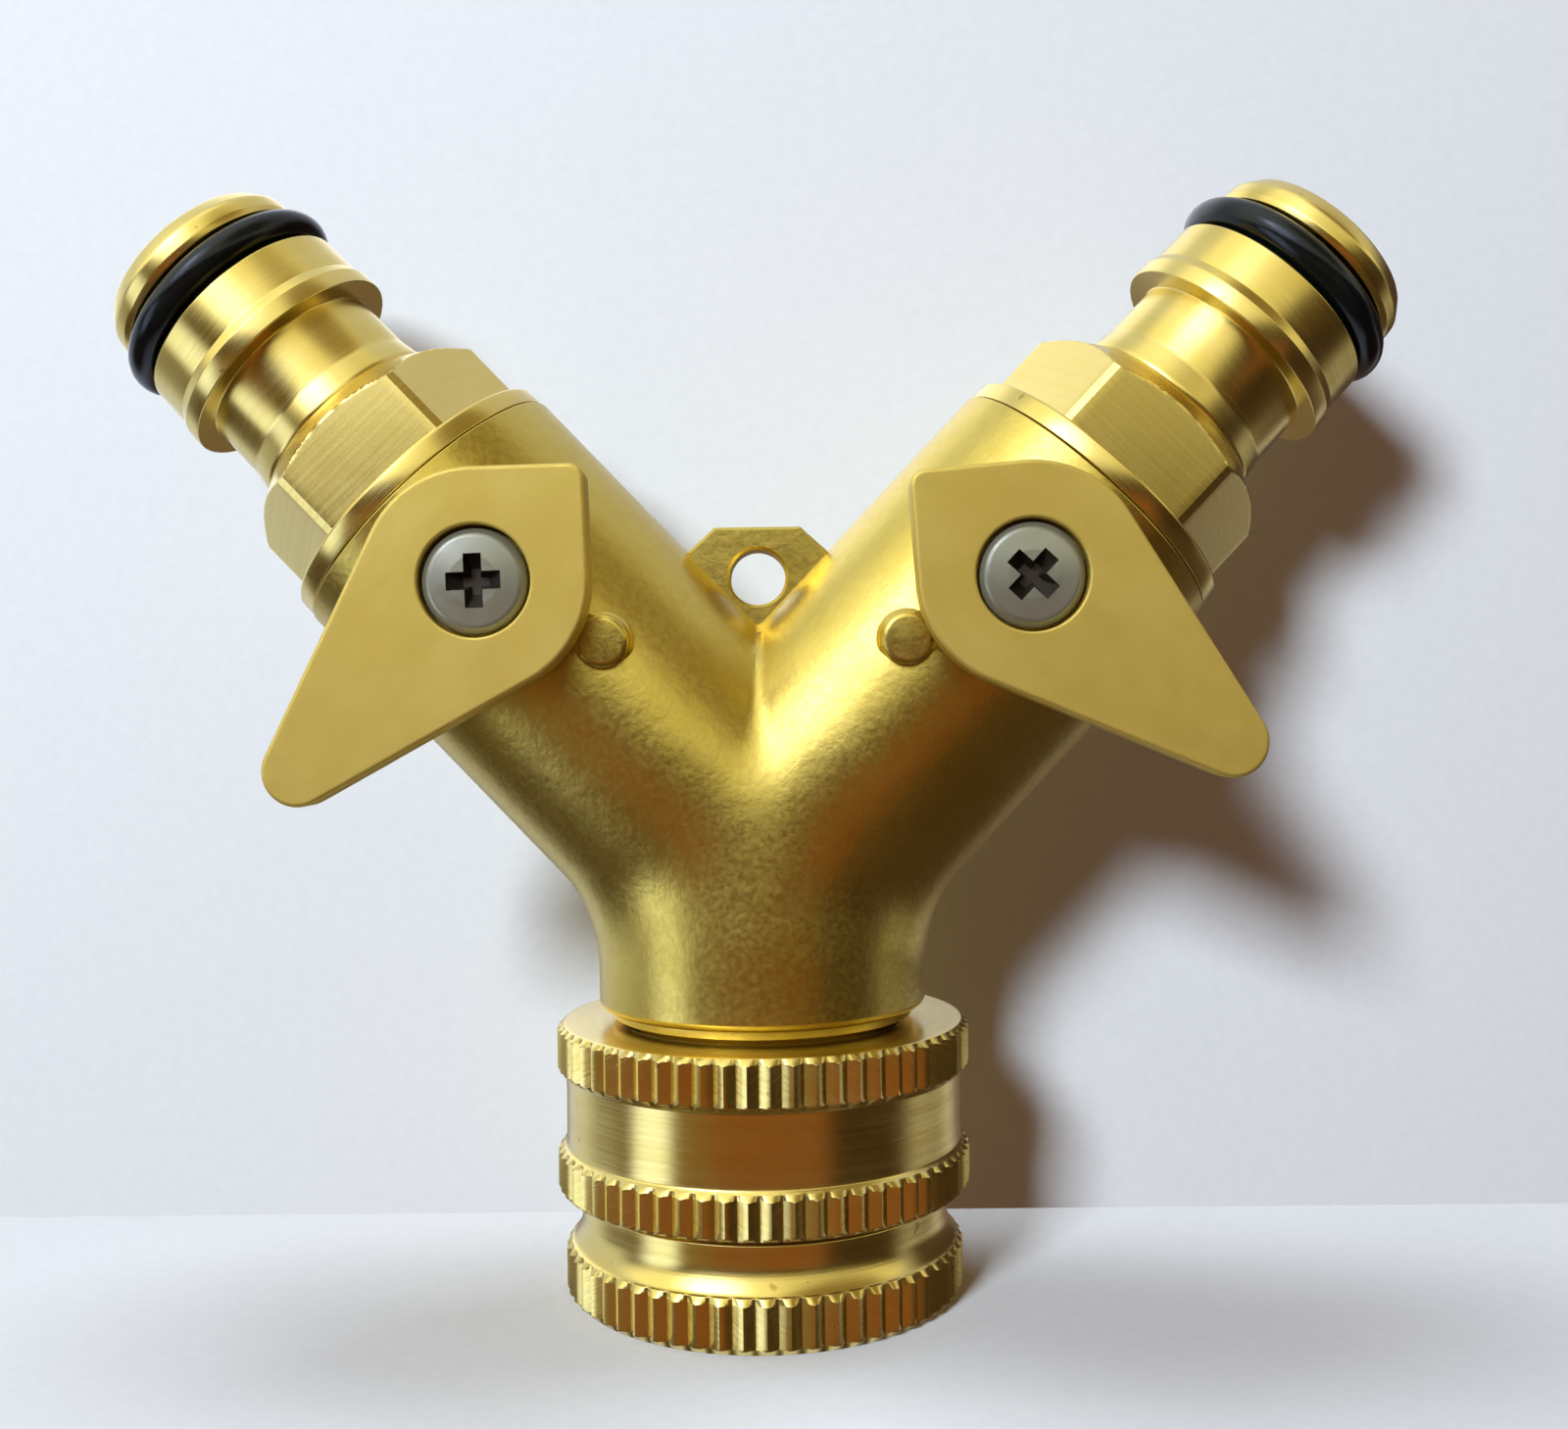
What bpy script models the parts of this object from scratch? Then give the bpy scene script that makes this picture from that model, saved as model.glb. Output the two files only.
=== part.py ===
"""Two-way garden hose splitter with two quarter-turn ball valves.

Frame: metres, +Z up along the inlet axis, inlet end face at the origin,
the two outlet arms lean apart in the XZ plane, the valve handles face -Y.
"""
import math

import bmesh
import bpy
from mathutils import Matrix, Vector

for _o in list(bpy.data.objects):
    bpy.data.objects.remove(_o, do_unlink=True)

MM = 0.001

# ---- driving dimensions (millimetres, degrees) ----
ARM_ANGLE = 43.5          # each outlet arm from the inlet axis
JUNCTION_Z = 31.9         # height where the arm axes meet
ARM_R = 11.63
NECK_R = 12.1
NECK_Z0 = 20.7            # underside of the neck
TAIL_R = 9.8              # tail that carries the swivel nut
TAIL_Z0 = 15.4
TAIL_BORE_R = 7.5
ARM_BORE_R = 4.8
ARM_END_S = 35.2          # end of the cast arm along its axis
VALVE_S = 26.5            # valve axis along the arm
CAVITY_R = 8.2
CAVITY_S0 = 18.2
CBORE_R = 9.6
CBORE_S0 = 32.3
LUG_T = 3.4               # hanging lug thickness
LUG_HOLE_R = 2.05
LUG_HOLE_Z = 52.3

REDUCER_R = 14.7
REDUCER_H = 3.8
COLLAR_R = 13.7
COLLAR_Z1 = 7.25
MALE_R = 12.85
MALE_Z1 = 13.4
SOCKET_R = 10.5
SOCKET_DEPTH = 9.4

NUT_R = 15.25
NUT_BAND_R = 14.72
NUT_Z = (7.55, 10.75, 16.15, 19.7)
NUT_BORE_R = 13.25
NUT_LIP_Z = 17.7
NUT_LIP_R = 10.15
NUT_TEETH = 62
REDUCER_TEETH = 58
KNURL_DEPTH = 0.5

NIPPLE_FLANGE_R = 11.45
HEX_AF = 18.6
HEX_CORNER_R = 10.35
NIPPLE_NECK_R = 7.3
NIPPLE_SHOULDER_R = 8.8
NIPPLE_BARREL_R = 8.5
NIPPLE_GROOVE_R = 6.5
NIPPLE_LIP_R = 7.95
NIPPLE_TIP_S = 61.2
NIPPLE_BORE_R = 5.2
OUTLET_RING_S = 56.95
OUTLET_RING_R = 7.75
OUTLET_RING_TUBE = 1.2

BALL_R = 7.0
BALL_BORE_R = 4.4
HANDLE_Y = (-12.5, -15.1)
HANDLE_HUB_R = 7.5
HANDLE_TIP_U = 17.0
HANDLE_TIP_R = 2.35
HANDLE_CORNER_U = -9.12
HANDLE_CORNER_R = 1.0
HANDLE_SKEW = 3.0         # both handles sit this far round from square
LEFT_TRAVEL = 93.0
STEM_R = 3.0
SCREW_HEAD_R = 3.5
POST_ST = (-8.54, 3.19)   # stop post from the valve axis, along / across the arm
POST_R = 2.0
POST_TOP_Y = -12.15

ARM = math.radians(ARM_ANGLE)
VALVE_X = VALVE_S * math.sin(ARM)
VALVE_Z = JUNCTION_Z + VALVE_S * math.cos(ARM)


def collection(name):
    c = bpy.data.collections.new(name)
    bpy.context.scene.collection.children.link(c)
    return c


PARTS = collection("hose_splitter")
TOOLS = collection("cutters")


def material(name, colour, metallic, rough):
    m = bpy.data.materials.new(name)
    m.use_nodes = True
    b = m.node_tree.nodes["Principled BSDF"]
    b.inputs["Base Color"].default_value = (*colour, 1.0)
    b.inputs["Metallic"].default_value = metallic
    b.inputs["Roughness"].default_value = rough
    m.diffuse_color = (*colour, 1.0)
    return m


def empty(name, loc=(0, 0, 0), rot_y=0.0, parent=None):
    e = bpy.data.objects.new(name, None)
    PARTS.objects.link(e)
    e.location = Vector(loc) * MM
    e.rotation_euler = (0.0, rot_y, 0.0)
    e.parent = parent
    return e


def finish(bm, name, coll, mat=None, parent=None):
    bmesh.ops.remove_doubles(bm, verts=bm.verts, dist=1e-5)
    bmesh.ops.recalc_face_normals(bm, faces=bm.faces)
    bmesh.ops.scale(bm, vec=(MM, MM, MM), verts=bm.verts)
    me = bpy.data.meshes.new(name)
    bm.to_mesh(me)
    bm.free()
    ob = bpy.data.objects.new(name, me)
    coll.objects.link(ob)
    if parent is not None:
        ob.parent = parent
    if mat is not None:
        me.materials.append(mat)
        for p in me.polygons:
            p.use_smooth = True
        me.set_sharp_from_angle(angle=math.radians(28))
    else:
        ob.hide_render = True
        ob.display_type = 'WIRE'
    return ob


def lathe(profile, segments, radius_at=None, phase=0.0):
    """Closed profile of (r, z) about Z; r == 0 ends close on the axis."""
    bm = bmesh.new()
    rings = []
    for k, (r, z) in enumerate(profile):
        if r < 1e-6:
            rings.append([bm.verts.new((0, 0, z))])
            continue
        ring = []
        for i in range(segments):
            a = 2 * math.pi * i / segments + phase
            rr = radius_at(k, r, i, a) if radius_at else r
            ring.append(bm.verts.new((rr * math.cos(a), rr * math.sin(a), z)))
        rings.append(ring)
    n = len(rings)
    open_profile = len(rings[0]) == 1 and len(rings[-1]) == 1
    for k in range(n - 1 if open_profile else n):
        a, b = rings[k], rings[(k + 1) % n]
        for i in range(segments):
            j = (i + 1) % segments
            if len(a) == 1 and len(b) == 1:
                continue
            if len(a) == 1:
                bm.faces.new((a[0], b[j], b[i]))
            elif len(b) == 1:
                bm.faces.new((a[i], a[j], b[0]))
            else:
                bm.faces.new((a[i], a[j], b[j], b[i]))
    return bm


def torus(radius, tube, z, seg, sides):
    prof = []
    for i in range(sides):
        t = 2 * math.pi * i / sides
        prof.append((radius + tube * math.cos(t), z + tube * math.sin(t)))
    return lathe(prof, seg)


def turn_bm(bm, matrix):
    bmesh.ops.transform(bm, matrix=matrix, verts=bm.verts)
    return bm


def prism(outline, y0, y1):
    """Closed outline of (x, z) pushed from y0 to y1."""
    bm = bmesh.new()
    lo = [bm.verts.new((x, y0, z)) for x, z in outline]
    hi = [bm.verts.new((x, y1, z)) for x, z in outline]
    bm.faces.new(lo)
    bm.faces.new(list(reversed(hi)))
    n = len(outline)
    for i in range(n):
        j = (i + 1) % n
        bm.faces.new((lo[i], hi[i], hi[j], lo[j]))
    return bm


def circle_xz(cx, cz, r, n, phase=0.0):
    return [(cx + r * math.cos(2 * math.pi * i / n + phase),
             cz + r * math.sin(2 * math.pi * i / n + phase)) for i in range(n)]


def cylinder_y(cx, cz, r, y0, y1, n):
    return prism(circle_xz(cx, cz, r, n, math.pi / n), y0, y1)


def boolean(ob, tool, kind):
    m = ob.modifiers.new(tool.name, 'BOOLEAN')
    m.operation = kind
    m.solver = 'EXACT'
    m.object = tool


def hull_outline(discs, step):
    """Convex outline round a few discs, in the (u, v) plane."""
    pts = []
    for cx, cz, r, n in discs:
        pts += circle_xz(cx, cz, r, n)
    pts = sorted(set((round(x, 5), round(z, 5)) for x, z in pts))

    def half(seq):
        out = []
        for p in seq:
            while len(out) > 1 and ((out[-1][0] - out[-2][0]) * (p[1] - out[-2][1])
                                    - (out[-1][1] - out[-2][1]) * (p[0] - out[-2][0])) <= step:
                out.pop()
            out.append(p)
        return out[:-1]
    return half(pts) + half(list(reversed(pts)))


BRASS_CAST = material("cast_brass", (0.72, 0.56, 0.22), 1.0, 0.38)
BRASS_TURNED = material("turned_brass", (0.80, 0.64, 0.26), 1.0, 0.25)
BRASS_PLATE = material("satin_brass_plate", (0.66, 0.51, 0.20), 1.0, 0.45)
RUBBER = material("black_rubber", (0.02, 0.02, 0.022), 0.0, 0.4)
PTFE = material("white_ptfe", (0.86, 0.86, 0.84), 0.0, 0.5)
STEEL = material("zinc_plated_steel", (0.66, 0.68, 0.66), 1.0, 0.3)
SPRING = material("stainless_spring_steel", (0.55, 0.56, 0.57), 1.0, 0.3)
CHROME = material("chromed_brass_ball", (0.80, 0.81, 0.83), 1.0, 0.08)

# ---- moving frames ----
inlet_frame = empty("inlet_frame")
swivel_frame = empty("swivel_frame", (0, 0, NUT_Z[0]))
body_frame = empty("body_frame", (0, 0, JUNCTION_Z))
SIDES = (("left", -1), ("right", 1))
ARM_FRAME = {s: empty(s + "_arm_frame", (0, 0, JUNCTION_Z), k * ARM) for s, k in SIDES}
TIP = {"left": math.radians(-180 + ARM_ANGLE + HANDLE_SKEW),
       "right": math.radians(-ARM_ANGLE + HANDLE_SKEW)}
VALVE_FRAME = {s: empty(s + "_valve_frame", (k * VALVE_X, 0, VALVE_Z), -TIP[s]) for s, k in SIDES}

# ---- thread reducer: knurled ring, plain collar, male end, inner socket ----
R_PROFILE = [
    (REDUCER_R - 0.5, 0.0), (REDUCER_R, 0.45), (REDUCER_R, REDUCER_H - 0.4),
    (REDUCER_R - 0.45, REDUCER_H), (COLLAR_R, REDUCER_H + 0.02), (COLLAR_R, COLLAR_Z1 - 0.2),
    (COLLAR_R - 0.2, COLLAR_Z1), (MALE_R - 0.6, COLLAR_Z1 + 0.02), (MALE_R, 8.2),
    (MALE_R, MALE_Z1 - 0.6), (MALE_R - 0.6, MALE_Z1), (6.8, MALE_Z1),
    (6.8, SOCKET_DEPTH + 1.9), (SOCKET_R, SOCKET_DEPTH + 1.9), (SOCKET_R, 0.6), (SOCKET_R + 0.6, 0.0)]


def reducer_knurl(k, r, i, a):
    return r - (KNURL_DEPTH if (i % 2 and k in (1, 2)) else 0.0)


finish(lathe(R_PROFILE, REDUCER_TEETH * 2, reducer_knurl), "thread_reducer", PARTS,
       BRASS_TURNED, inlet_frame)
finish(lathe([(10.1, SOCKET_DEPTH - 0.25), (10.1, SOCKET_DEPTH + 1.65),
              (7.1, SOCKET_DEPTH + 1.65), (7.1, SOCKET_DEPTH - 0.25)], 40),
       "reducer_washer", PARTS, RUBBER, inlet_frame)

# ---- swivel nut ----
Z0 = NUT_Z[0]
N_PROFILE = [
    (NUT_R - 0.45, 0.0), (NUT_R, 0.4), (NUT_R, NUT_Z[1] - Z0 - 0.4), (NUT_R - 0.35, NUT_Z[1] - Z0),
    (NUT_BAND_R, NUT_Z[1] - Z0 + 0.02), (NUT_BAND_R, NUT_Z[2] - Z0 - 0.02), (NUT_R - 0.35, NUT_Z[2] - Z0),
    (NUT_R, NUT_Z[2] - Z0 + 0.4), (NUT_R, NUT_Z[3] - Z0 - 0.5), (NUT_R - 0.6, NUT_Z[3] - Z0),
    (NUT_LIP_R + 0.3, NUT_Z[3] - Z0), (NUT_LIP_R, NUT_Z[3] - Z0 - 0.3), (NUT_LIP_R, NUT_LIP_Z - Z0),
    (NUT_BORE_R, NUT_LIP_Z - Z0), (NUT_BORE_R, 0.5), (NUT_BORE_R + 0.4, 0.0)]


def nut_knurl(k, r, i, a):
    return r - (KNURL_DEPTH if (i % 2 and k in (1, 2, 7, 8)) else 0.0)


finish(lathe(N_PROFILE, NUT_TEETH * 2, nut_knurl), "swivel_nut", PARTS, BRASS_TURNED, swivel_frame)
finish(lathe([(12.3, 13.65 - Z0), (12.3, 15.15 - Z0), (7.9, 15.15 - Z0), (7.9, 13.65 - Z0)], 40),
       "inlet_washer", PARTS, RUBBER, swivel_frame)


# ---- cast body ----
def cone_bm(profile, seg=52, phase=0.0):
    return lathe(profile, seg, phase=phase)


AF = ARM_FRAME
body = finish(cone_bm([(0, -JUNCTION_Z + TAIL_Z0), (TAIL_R - 0.4, -JUNCTION_Z + TAIL_Z0),
                       (TAIL_R, -JUNCTION_Z + TAIL_Z0 + 0.4),
                       (TAIL_R, -JUNCTION_Z + NECK_Z0), (NECK_R - 0.5, -JUNCTION_Z + NECK_Z0),
                       (NECK_R, -JUNCTION_Z + NECK_Z0 + 0.5), (NECK_R, -4.6), (NECK_R - 1.0, 0.3),
                       (0, 0.6)]), "y_body", PARTS, BRASS_CAST, body_frame)
for side, k in SIDES:
    boolean(body, finish(cone_bm([(0, -3.4), (ARM_R, -3.4), (ARM_R, ARM_END_S - 0.35),
                                  (ARM_R - 0.35, ARM_END_S), (0, ARM_END_S)], phase=0.01 * k),
                         "add_%s_arm" % side, TOOLS, parent=AF[side]), 'UNION')
LUG = [(0, 44.0), (5.15, 54.2 - 3.0), (5.15, 54.2), (3.17, 56.0), (-3.17, 56.0), (-5.15, 54.2), (-5.15, 51.2)]
boolean(body, finish(prism([(x, z - JUNCTION_Z) for x, z in LUG], -LUG_T / 2, LUG_T / 2),
                     "add_lug", TOOLS, parent=body_frame), 'UNION')
POST_D = math.hypot(*POST_ST)
for side, k in SIDES:
    # arm frame: x across (outer side +x for right), z along; inner side of the arm is -k
    ps, pt = VALVE_S + POST_ST[0], -k * POST_ST[1]
    ux, uz = pt / POST_D, POST_ST[0] / POST_D
    wx, wz = -uz, ux
    w, rin = POST_R * 0.85, 6.3
    boss = [(ux * rin + wx * w, VALVE_S + uz * rin + wz * w),
            (ux * rin - wx * w, VALVE_S + uz * rin - wz * w)]
    a0 = math.atan2(-wz, -wx)
    sgn = 1 if (math.cos(a0 + math.pi / 2) * ux + math.sin(a0 + math.pi / 2) * uz) > 0 else -1
    for i in range(9):
        t = a0 + sgn * math.pi * i / 8
        boss.append((pt + POST_R * math.cos(t), ps + POST_R * math.sin(t)))
    boolean(body, finish(prism(boss, -9.4, POST_TOP_Y), "add_%s_post" % side, TOOLS, parent=AF[side]), 'UNION')

boolean(body, finish(cone_bm([(0, -20), (TAIL_BORE_R, -20), (TAIL_BORE_R, -5.0), (5.6, 0.0), (0, 3.0)], 40, 0.05),
                     "cut_inlet_bore", TOOLS, parent=body_frame), 'DIFFERENCE')
boolean(body, finish(cone_bm([(TAIL_R + 1.2, 15.75 - JUNCTION_Z), (TAIL_R + 1.2, 17.15 - JUNCTION_Z),
                              (TAIL_R - 0.9, 17.15 - JUNCTION_Z), (TAIL_R - 0.9, 15.75 - JUNCTION_Z)], 48, 0.03),
                     "cut_ring_groove", TOOLS, parent=body_frame), 'DIFFERENCE')
for side, k in SIDES:
    boolean(body, finish(cone_bm([(0, -1.0), (ARM_BORE_R, -1.0), (ARM_BORE_R, CAVITY_S0),
                                  (CAVITY_R, CAVITY_S0), (CAVITY_R, CBORE_S0), (CBORE_R, CBORE_S0),
                                  (CBORE_R, 37.0), (0, 37.0)], 40, 0.05 * k),
                         "cut_%s_bore" % side, TOOLS, parent=AF[side]), 'DIFFERENCE')
    boolean(body, finish(cylinder_y(0, VALVE_S, 3.45, -13.0, -3.0, 28), "cut_%s_stem_bore" % side, TOOLS,
                         parent=AF[side]), 'DIFFERENCE')
    boolean(body, finish(cylinder_y(0, VALVE_S, 4.6, -8.65, -4.0, 28), "cut_%s_stem_seat" % side, TOOLS,
                         parent=AF[side]), 'DIFFERENCE')
boolean(body, finish(cylinder_y(0, LUG_HOLE_Z - JUNCTION_Z, LUG_HOLE_R, -5, 5, 24), "cut_lug_hole", TOOLS,
                     parent=body_frame), 'DIFFERENCE')

# split retaining ring in the tail groove
ring = finish(lathe([(9.1, 16.0), (9.1, 16.9), (11.4, 16.9), (11.4, 16.0)], 48), "nut_retaining_ring",
              PARTS, SPRING, body_frame)
ring.location = (0, 0, -JUNCTION_Z * MM)
slot = finish(prism([(-1.2, 15.0), (1.2, 15.0), (1.2, 18.0), (-1.2, 18.0)], 5.0, 14.0),
              "cut_ring_gap", TOOLS, parent=inlet_frame)
boolean(ring, slot, 'DIFFERENCE')

# ---- outlets ----
HEX_A = math.radians(60)


def nipple_radius(k, r, i, a):
    if k in (8, 9):
        m = (a % HEX_A) - HEX_A / 2
        return min(HEX_AF / 2 / math.cos(m), HEX_CORNER_R)
    return r


NIP = [
    (5.6, 32.5), (8.9, 32.5), (9.25, 32.9), (9.25, 33.15), (8.1, 33.15), (8.1, 34.75), (9.25, 34.75),
    (9.25, 35.5),
    (9.6, 36.85), (9.6, 42.3), (8.6, 43.0), (NIPPLE_NECK_R + 0.15, 44.4), (NIPPLE_NECK_R - 0.1, 50.3),
    (NIPPLE_SHOULDER_R, 50.35), (NIPPLE_SHOULDER_R, 51.7), (NIPPLE_BARREL_R, 52.5), (NIPPLE_BARREL_R, 55.5),
    (NIPPLE_GROOVE_R, 55.5), (NIPPLE_GROOVE_R, 58.5), (NIPPLE_LIP_R, 58.5), (NIPPLE_LIP_R, 59.9),
    (NIPPLE_LIP_R - 0.9, NIPPLE_TIP_S), (NIPPLE_BORE_R + 0.6, NIPPLE_TIP_S), (NIPPLE_BORE_R, 60.6),
    (NIPPLE_BORE_R, 36.0)]
# flange goes in before the hexagon
NIP = NIP[:8] + [(NIPPLE_FLANGE_R, 35.5), (NIPPLE_FLANGE_R, 36.75), (9.85, 36.85)] + NIP[8:]


def nipple_radius_f(k, r, i, a):
    if k in (11, 12):
        m = (a % HEX_A) - HEX_A / 2
        return min(HEX_AF / 2 / math.cos(m), HEX_CORNER_R)
    return r


for side, k in SIDES:
    fr = AF[side]
    finish(lathe(NIP, 30, nipple_radius_f, math.radians(0)), side + "_outlet_nipple", PARTS, BRASS_TURNED, fr)
    finish(torus(OUTLET_RING_R, OUTLET_RING_TUBE, OUTLET_RING_S, 40, 8), side + "_outlet_o_ring", PARTS, RUBBER, fr)
    finish(torus(8.75, 0.58, 33.95, 32, 6), side + "_nipple_gasket", PARTS, RUBBER, fr)
    finish(lathe([(4.9, VALVE_S - 8.0), (4.9, VALVE_S - 5.45), (5.75, VALVE_S - 4.4), (7.9, VALVE_S - 4.4),
                  (7.9, VALVE_S - 8.0)], 28), side + "_inner_seat", PARTS, PTFE, fr)
    finish(lathe([(4.9, VALVE_S + 5.75), (4.9, VALVE_S + 5.45), (5.75, VALVE_S + 4.4), (7.9, VALVE_S + 4.4),
                  (7.9, VALVE_S + 5.75)], 28), side + "_outer_seat", PARTS, PTFE, fr)

# ---- valves: local +x is the handle direction, -y faces out ----
for side, k in SIDES:
    fr = VALVE_FRAME[side]
    b_bm = bmesh.new()
    bmesh.ops.create_uvsphere(b_bm, u_segments=24, v_segments=12, radius=BALL_R)
    ball = finish(b_bm, side + "_ball", PARTS, CHROME, fr)
    bore = lathe([(0, -9), (BALL_BORE_R, -9), (BALL_BORE_R, 9), (0, 9)], 28)
    turn_bm(bore, Matrix.Rotation(math.pi / 2, 4, 'Y'))
    boolean(ball, finish(bore, "cut_%s_ball_bore" % side, TOOLS, parent=fr), 'DIFFERENCE')
    boolean(ball, finish(prism([(-1.15, -9), (1.15, -9), (1.15, 9), (-1.15, 9)], -8.0, -5.45),
                         "cut_%s_ball_slot" % side, TOOLS, parent=fr), 'DIFFERENCE')
    # stem: round shaft with two seal grooves, blow-out flange, tang below, square above
    # (profile runs along local z, then the whole thing turns to face -y)
    S = [(0, 7.3), (4.2, 7.3), (4.2, 7.9), (STEM_R, 7.9), (STEM_R, 8.8), (2.3, 8.8), (2.3, 9.85),
         (STEM_R, 9.85), (STEM_R, 10.1), (2.3, 10.1), (2.3, 11.15), (STEM_R, 11.15), (STEM_R, 12.3), (0, 12.3)]
    st = lathe(S, 24)
    turn_bm(st, Matrix.Rotation(math.pi / 2, 4, 'X'))
    stem = finish(st, side + "_stem", PARTS, BRASS_TURNED, fr)
    boolean(stem, finish(prism([(-2.0, -2.0), (2.0, -2.0), (2.0, 2.0), (-2.0, 2.0)], -12.0, -13.5),
                         "add_%s_stem_square" % side, TOOLS, parent=fr), 'UNION')
    boolean(stem, finish(prism([(-0.95, -2.6), (0.95, -2.6), (0.95, 2.6), (-0.95, 2.6)], -5.65, -7.6),
                         "add_%s_stem_tang" % side, TOOLS, parent=fr), 'UNION')
    boolean(stem, finish(cylinder_y(0, 0, 1.75, -9.6, -14.5, 16), "cut_%s_stem_thread" % side, TOOLS,
                         parent=fr), 'DIFFERENCE')
    w = lathe([(3.15, 7.98), (3.15, 8.55), (4.3, 8.55), (4.3, 7.98)], 24)
    turn_bm(w, Matrix.Rotation(math.pi / 2, 4, 'X'))
    finish(w, side + "_stem_thrust_washer", PARTS, PTFE, fr)
    for tag, pos in (("lower", 9.33), ("upper", 10.62)):
        o = torus(2.86, 0.48, pos, 20, 6)
        turn_bm(o, Matrix.Rotation(math.pi / 2, 4, 'X'))
        finish(o, "%s_stem_o_ring_%s" % (side, tag), PARTS, RUBBER, fr)
    # handle plate with a recess for the screw head and a square hole
    outline = hull_outline([(0, 0, HANDLE_HUB_R, 48), (HANDLE_TIP_U, 0, HANDLE_TIP_R, 24),
                            (HANDLE_CORNER_U, 0, HANDLE_CORNER_R, 16)], 0.0005)
    inner = hull_outline([(0, 0, HANDLE_HUB_R - 0.3, 48), (HANDLE_TIP_U, 0, HANDLE_TIP_R - 0.3, 24),
                          (HANDLE_CORNER_U, 0, HANDLE_CORNER_R - 0.3, 16)], 0.0005)
    hb = prism(outline, HANDLE_Y[0], HANDLE_Y[1])
    handle = finish(hb, side + "_handle", PARTS, BRASS_PLATE, fr)
    bev = handle.modifiers.new("edge", 'BEVEL')
    bev.width = 0.35 * MM
    bev.segments = 2
    bev.limit_method = 'ANGLE'
    bev.angle_limit = math.radians(60)
    # stop tabs under the plate; angles measured from the handle direction
    post_dir = math.atan2(-4.0, -k * 8.2)
    gap = math.radians(23.5)
    if side == "left":
        tabs = (post_dir - gap, post_dir + gap + math.radians(LEFT_TRAVEL))
    else:
        tabs = (post_dir + gap + math.radians(6.0), post_dir - gap - math.radians(LEFT_TRAVEL - 6.0))
    for n, t in enumerate(tabs):
        t -= TIP[side]
        c, s = math.cos(t), math.sin(t)
        box = [(r * c - q * s, r * s + q * c) for r, q in ((5.9, -1.0), (7.2, -1.0), (7.2, 1.0), (5.9, 1.0))]
        boolean(handle, finish(prism(box, -11.86, -13.0), "add_%s_stop_%d" % (side, n), TOOLS, parent=fr), 'UNION')
    boolean(handle, finish(cylinder_y(0, 0, 3.75, -13.7, -17.0, 32), "cut_%s_recess" % side, TOOLS, parent=fr),
            'DIFFERENCE')
    boolean(handle, finish(prism([(-2.2, -2.2), (2.2, -2.2), (2.2, 2.2), (-2.2, 2.2)], -11.0, -15.0),
                           "cut_%s_square" % side, TOOLS, parent=fr), 'DIFFERENCE')
    # screw with a cross recess
    sc = lathe([(0, 9.9), (1.3, 9.9), (1.55, 10.2), (1.55, 13.78), (SCREW_HEAD_R - 0.05, 13.78),
                (SCREW_HEAD_R, 14.6), (SCREW_HEAD_R - 0.35, 14.95), (0, 15.1)], 32)
    turn_bm(sc, Matrix.Rotation(math.pi / 2, 4, 'X'))
    screw = finish(sc, side + "_handle_screw", PARTS, STEEL, fr)
    turn = math.radians(2 if side == "left" else 47) - TIP[side]
    c, s = math.cos(-turn), math.sin(-turn)
    cross = [(-0.45, -2.0), (0.45, -2.0), (0.45, -0.45), (2.0, -0.45), (2.0, 0.45), (0.45, 0.45),
             (0.45, 2.0), (-0.45, 2.0), (-0.45, 0.45), (-2.0, 0.45), (-2.0, -0.45), (-0.45, -0.45)]
    boolean(screw, finish(prism([(x * c - z * s, x * s + z * c) for x, z in cross], -13.9, -16.0),
                          "cut_%s_cross" % side, TOOLS, parent=fr), 'DIFFERENCE')
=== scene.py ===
import math

import bmesh
import bpy
import numpy as np
from mathutils import Matrix, Vector


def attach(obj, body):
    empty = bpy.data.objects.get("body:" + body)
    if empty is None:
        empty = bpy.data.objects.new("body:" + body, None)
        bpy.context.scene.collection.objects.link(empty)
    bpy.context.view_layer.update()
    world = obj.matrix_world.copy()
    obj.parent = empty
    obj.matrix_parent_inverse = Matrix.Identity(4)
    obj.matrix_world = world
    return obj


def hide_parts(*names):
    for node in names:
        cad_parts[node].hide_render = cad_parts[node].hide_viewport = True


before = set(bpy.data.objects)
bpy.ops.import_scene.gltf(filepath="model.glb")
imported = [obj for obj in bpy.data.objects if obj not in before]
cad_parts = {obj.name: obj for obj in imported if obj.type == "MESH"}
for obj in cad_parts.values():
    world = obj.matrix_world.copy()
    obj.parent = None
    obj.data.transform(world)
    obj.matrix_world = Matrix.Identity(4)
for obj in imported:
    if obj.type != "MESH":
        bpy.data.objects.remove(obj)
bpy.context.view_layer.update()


MM = 0.001
TAU = 2 * math.pi

# ---------------------------------------------------------------- dimensions
ARM = math.radians(43.5)
SA, CA = math.sin(ARM), math.cos(ARM)
JZ = 31.9
VALVE_S = 26.5
SKEW = math.radians(3.0)
SIDES = (("left", -1), ("right", 1))
TIP = {"left": -math.pi + ARM + SKEW, "right": -ARM + SKEW}


def place(loc_mm=(0, 0, 0), rot_y=0.0):
    return Matrix.Translation(Vector(loc_mm) * MM) @ Matrix.Rotation(rot_y, 4, 'Y')


ARM_M = {s: place((0, 0, JZ), k * ARM) for s, k in SIDES}
VALVE_M = {s: place((k * VALVE_S * SA, 0, JZ + VALVE_S * CA), -TIP[s]) for s, k in SIDES}
OUT = Matrix.Rotation(math.pi / 2, 4, 'X')       # local +z turned to face -y


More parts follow.
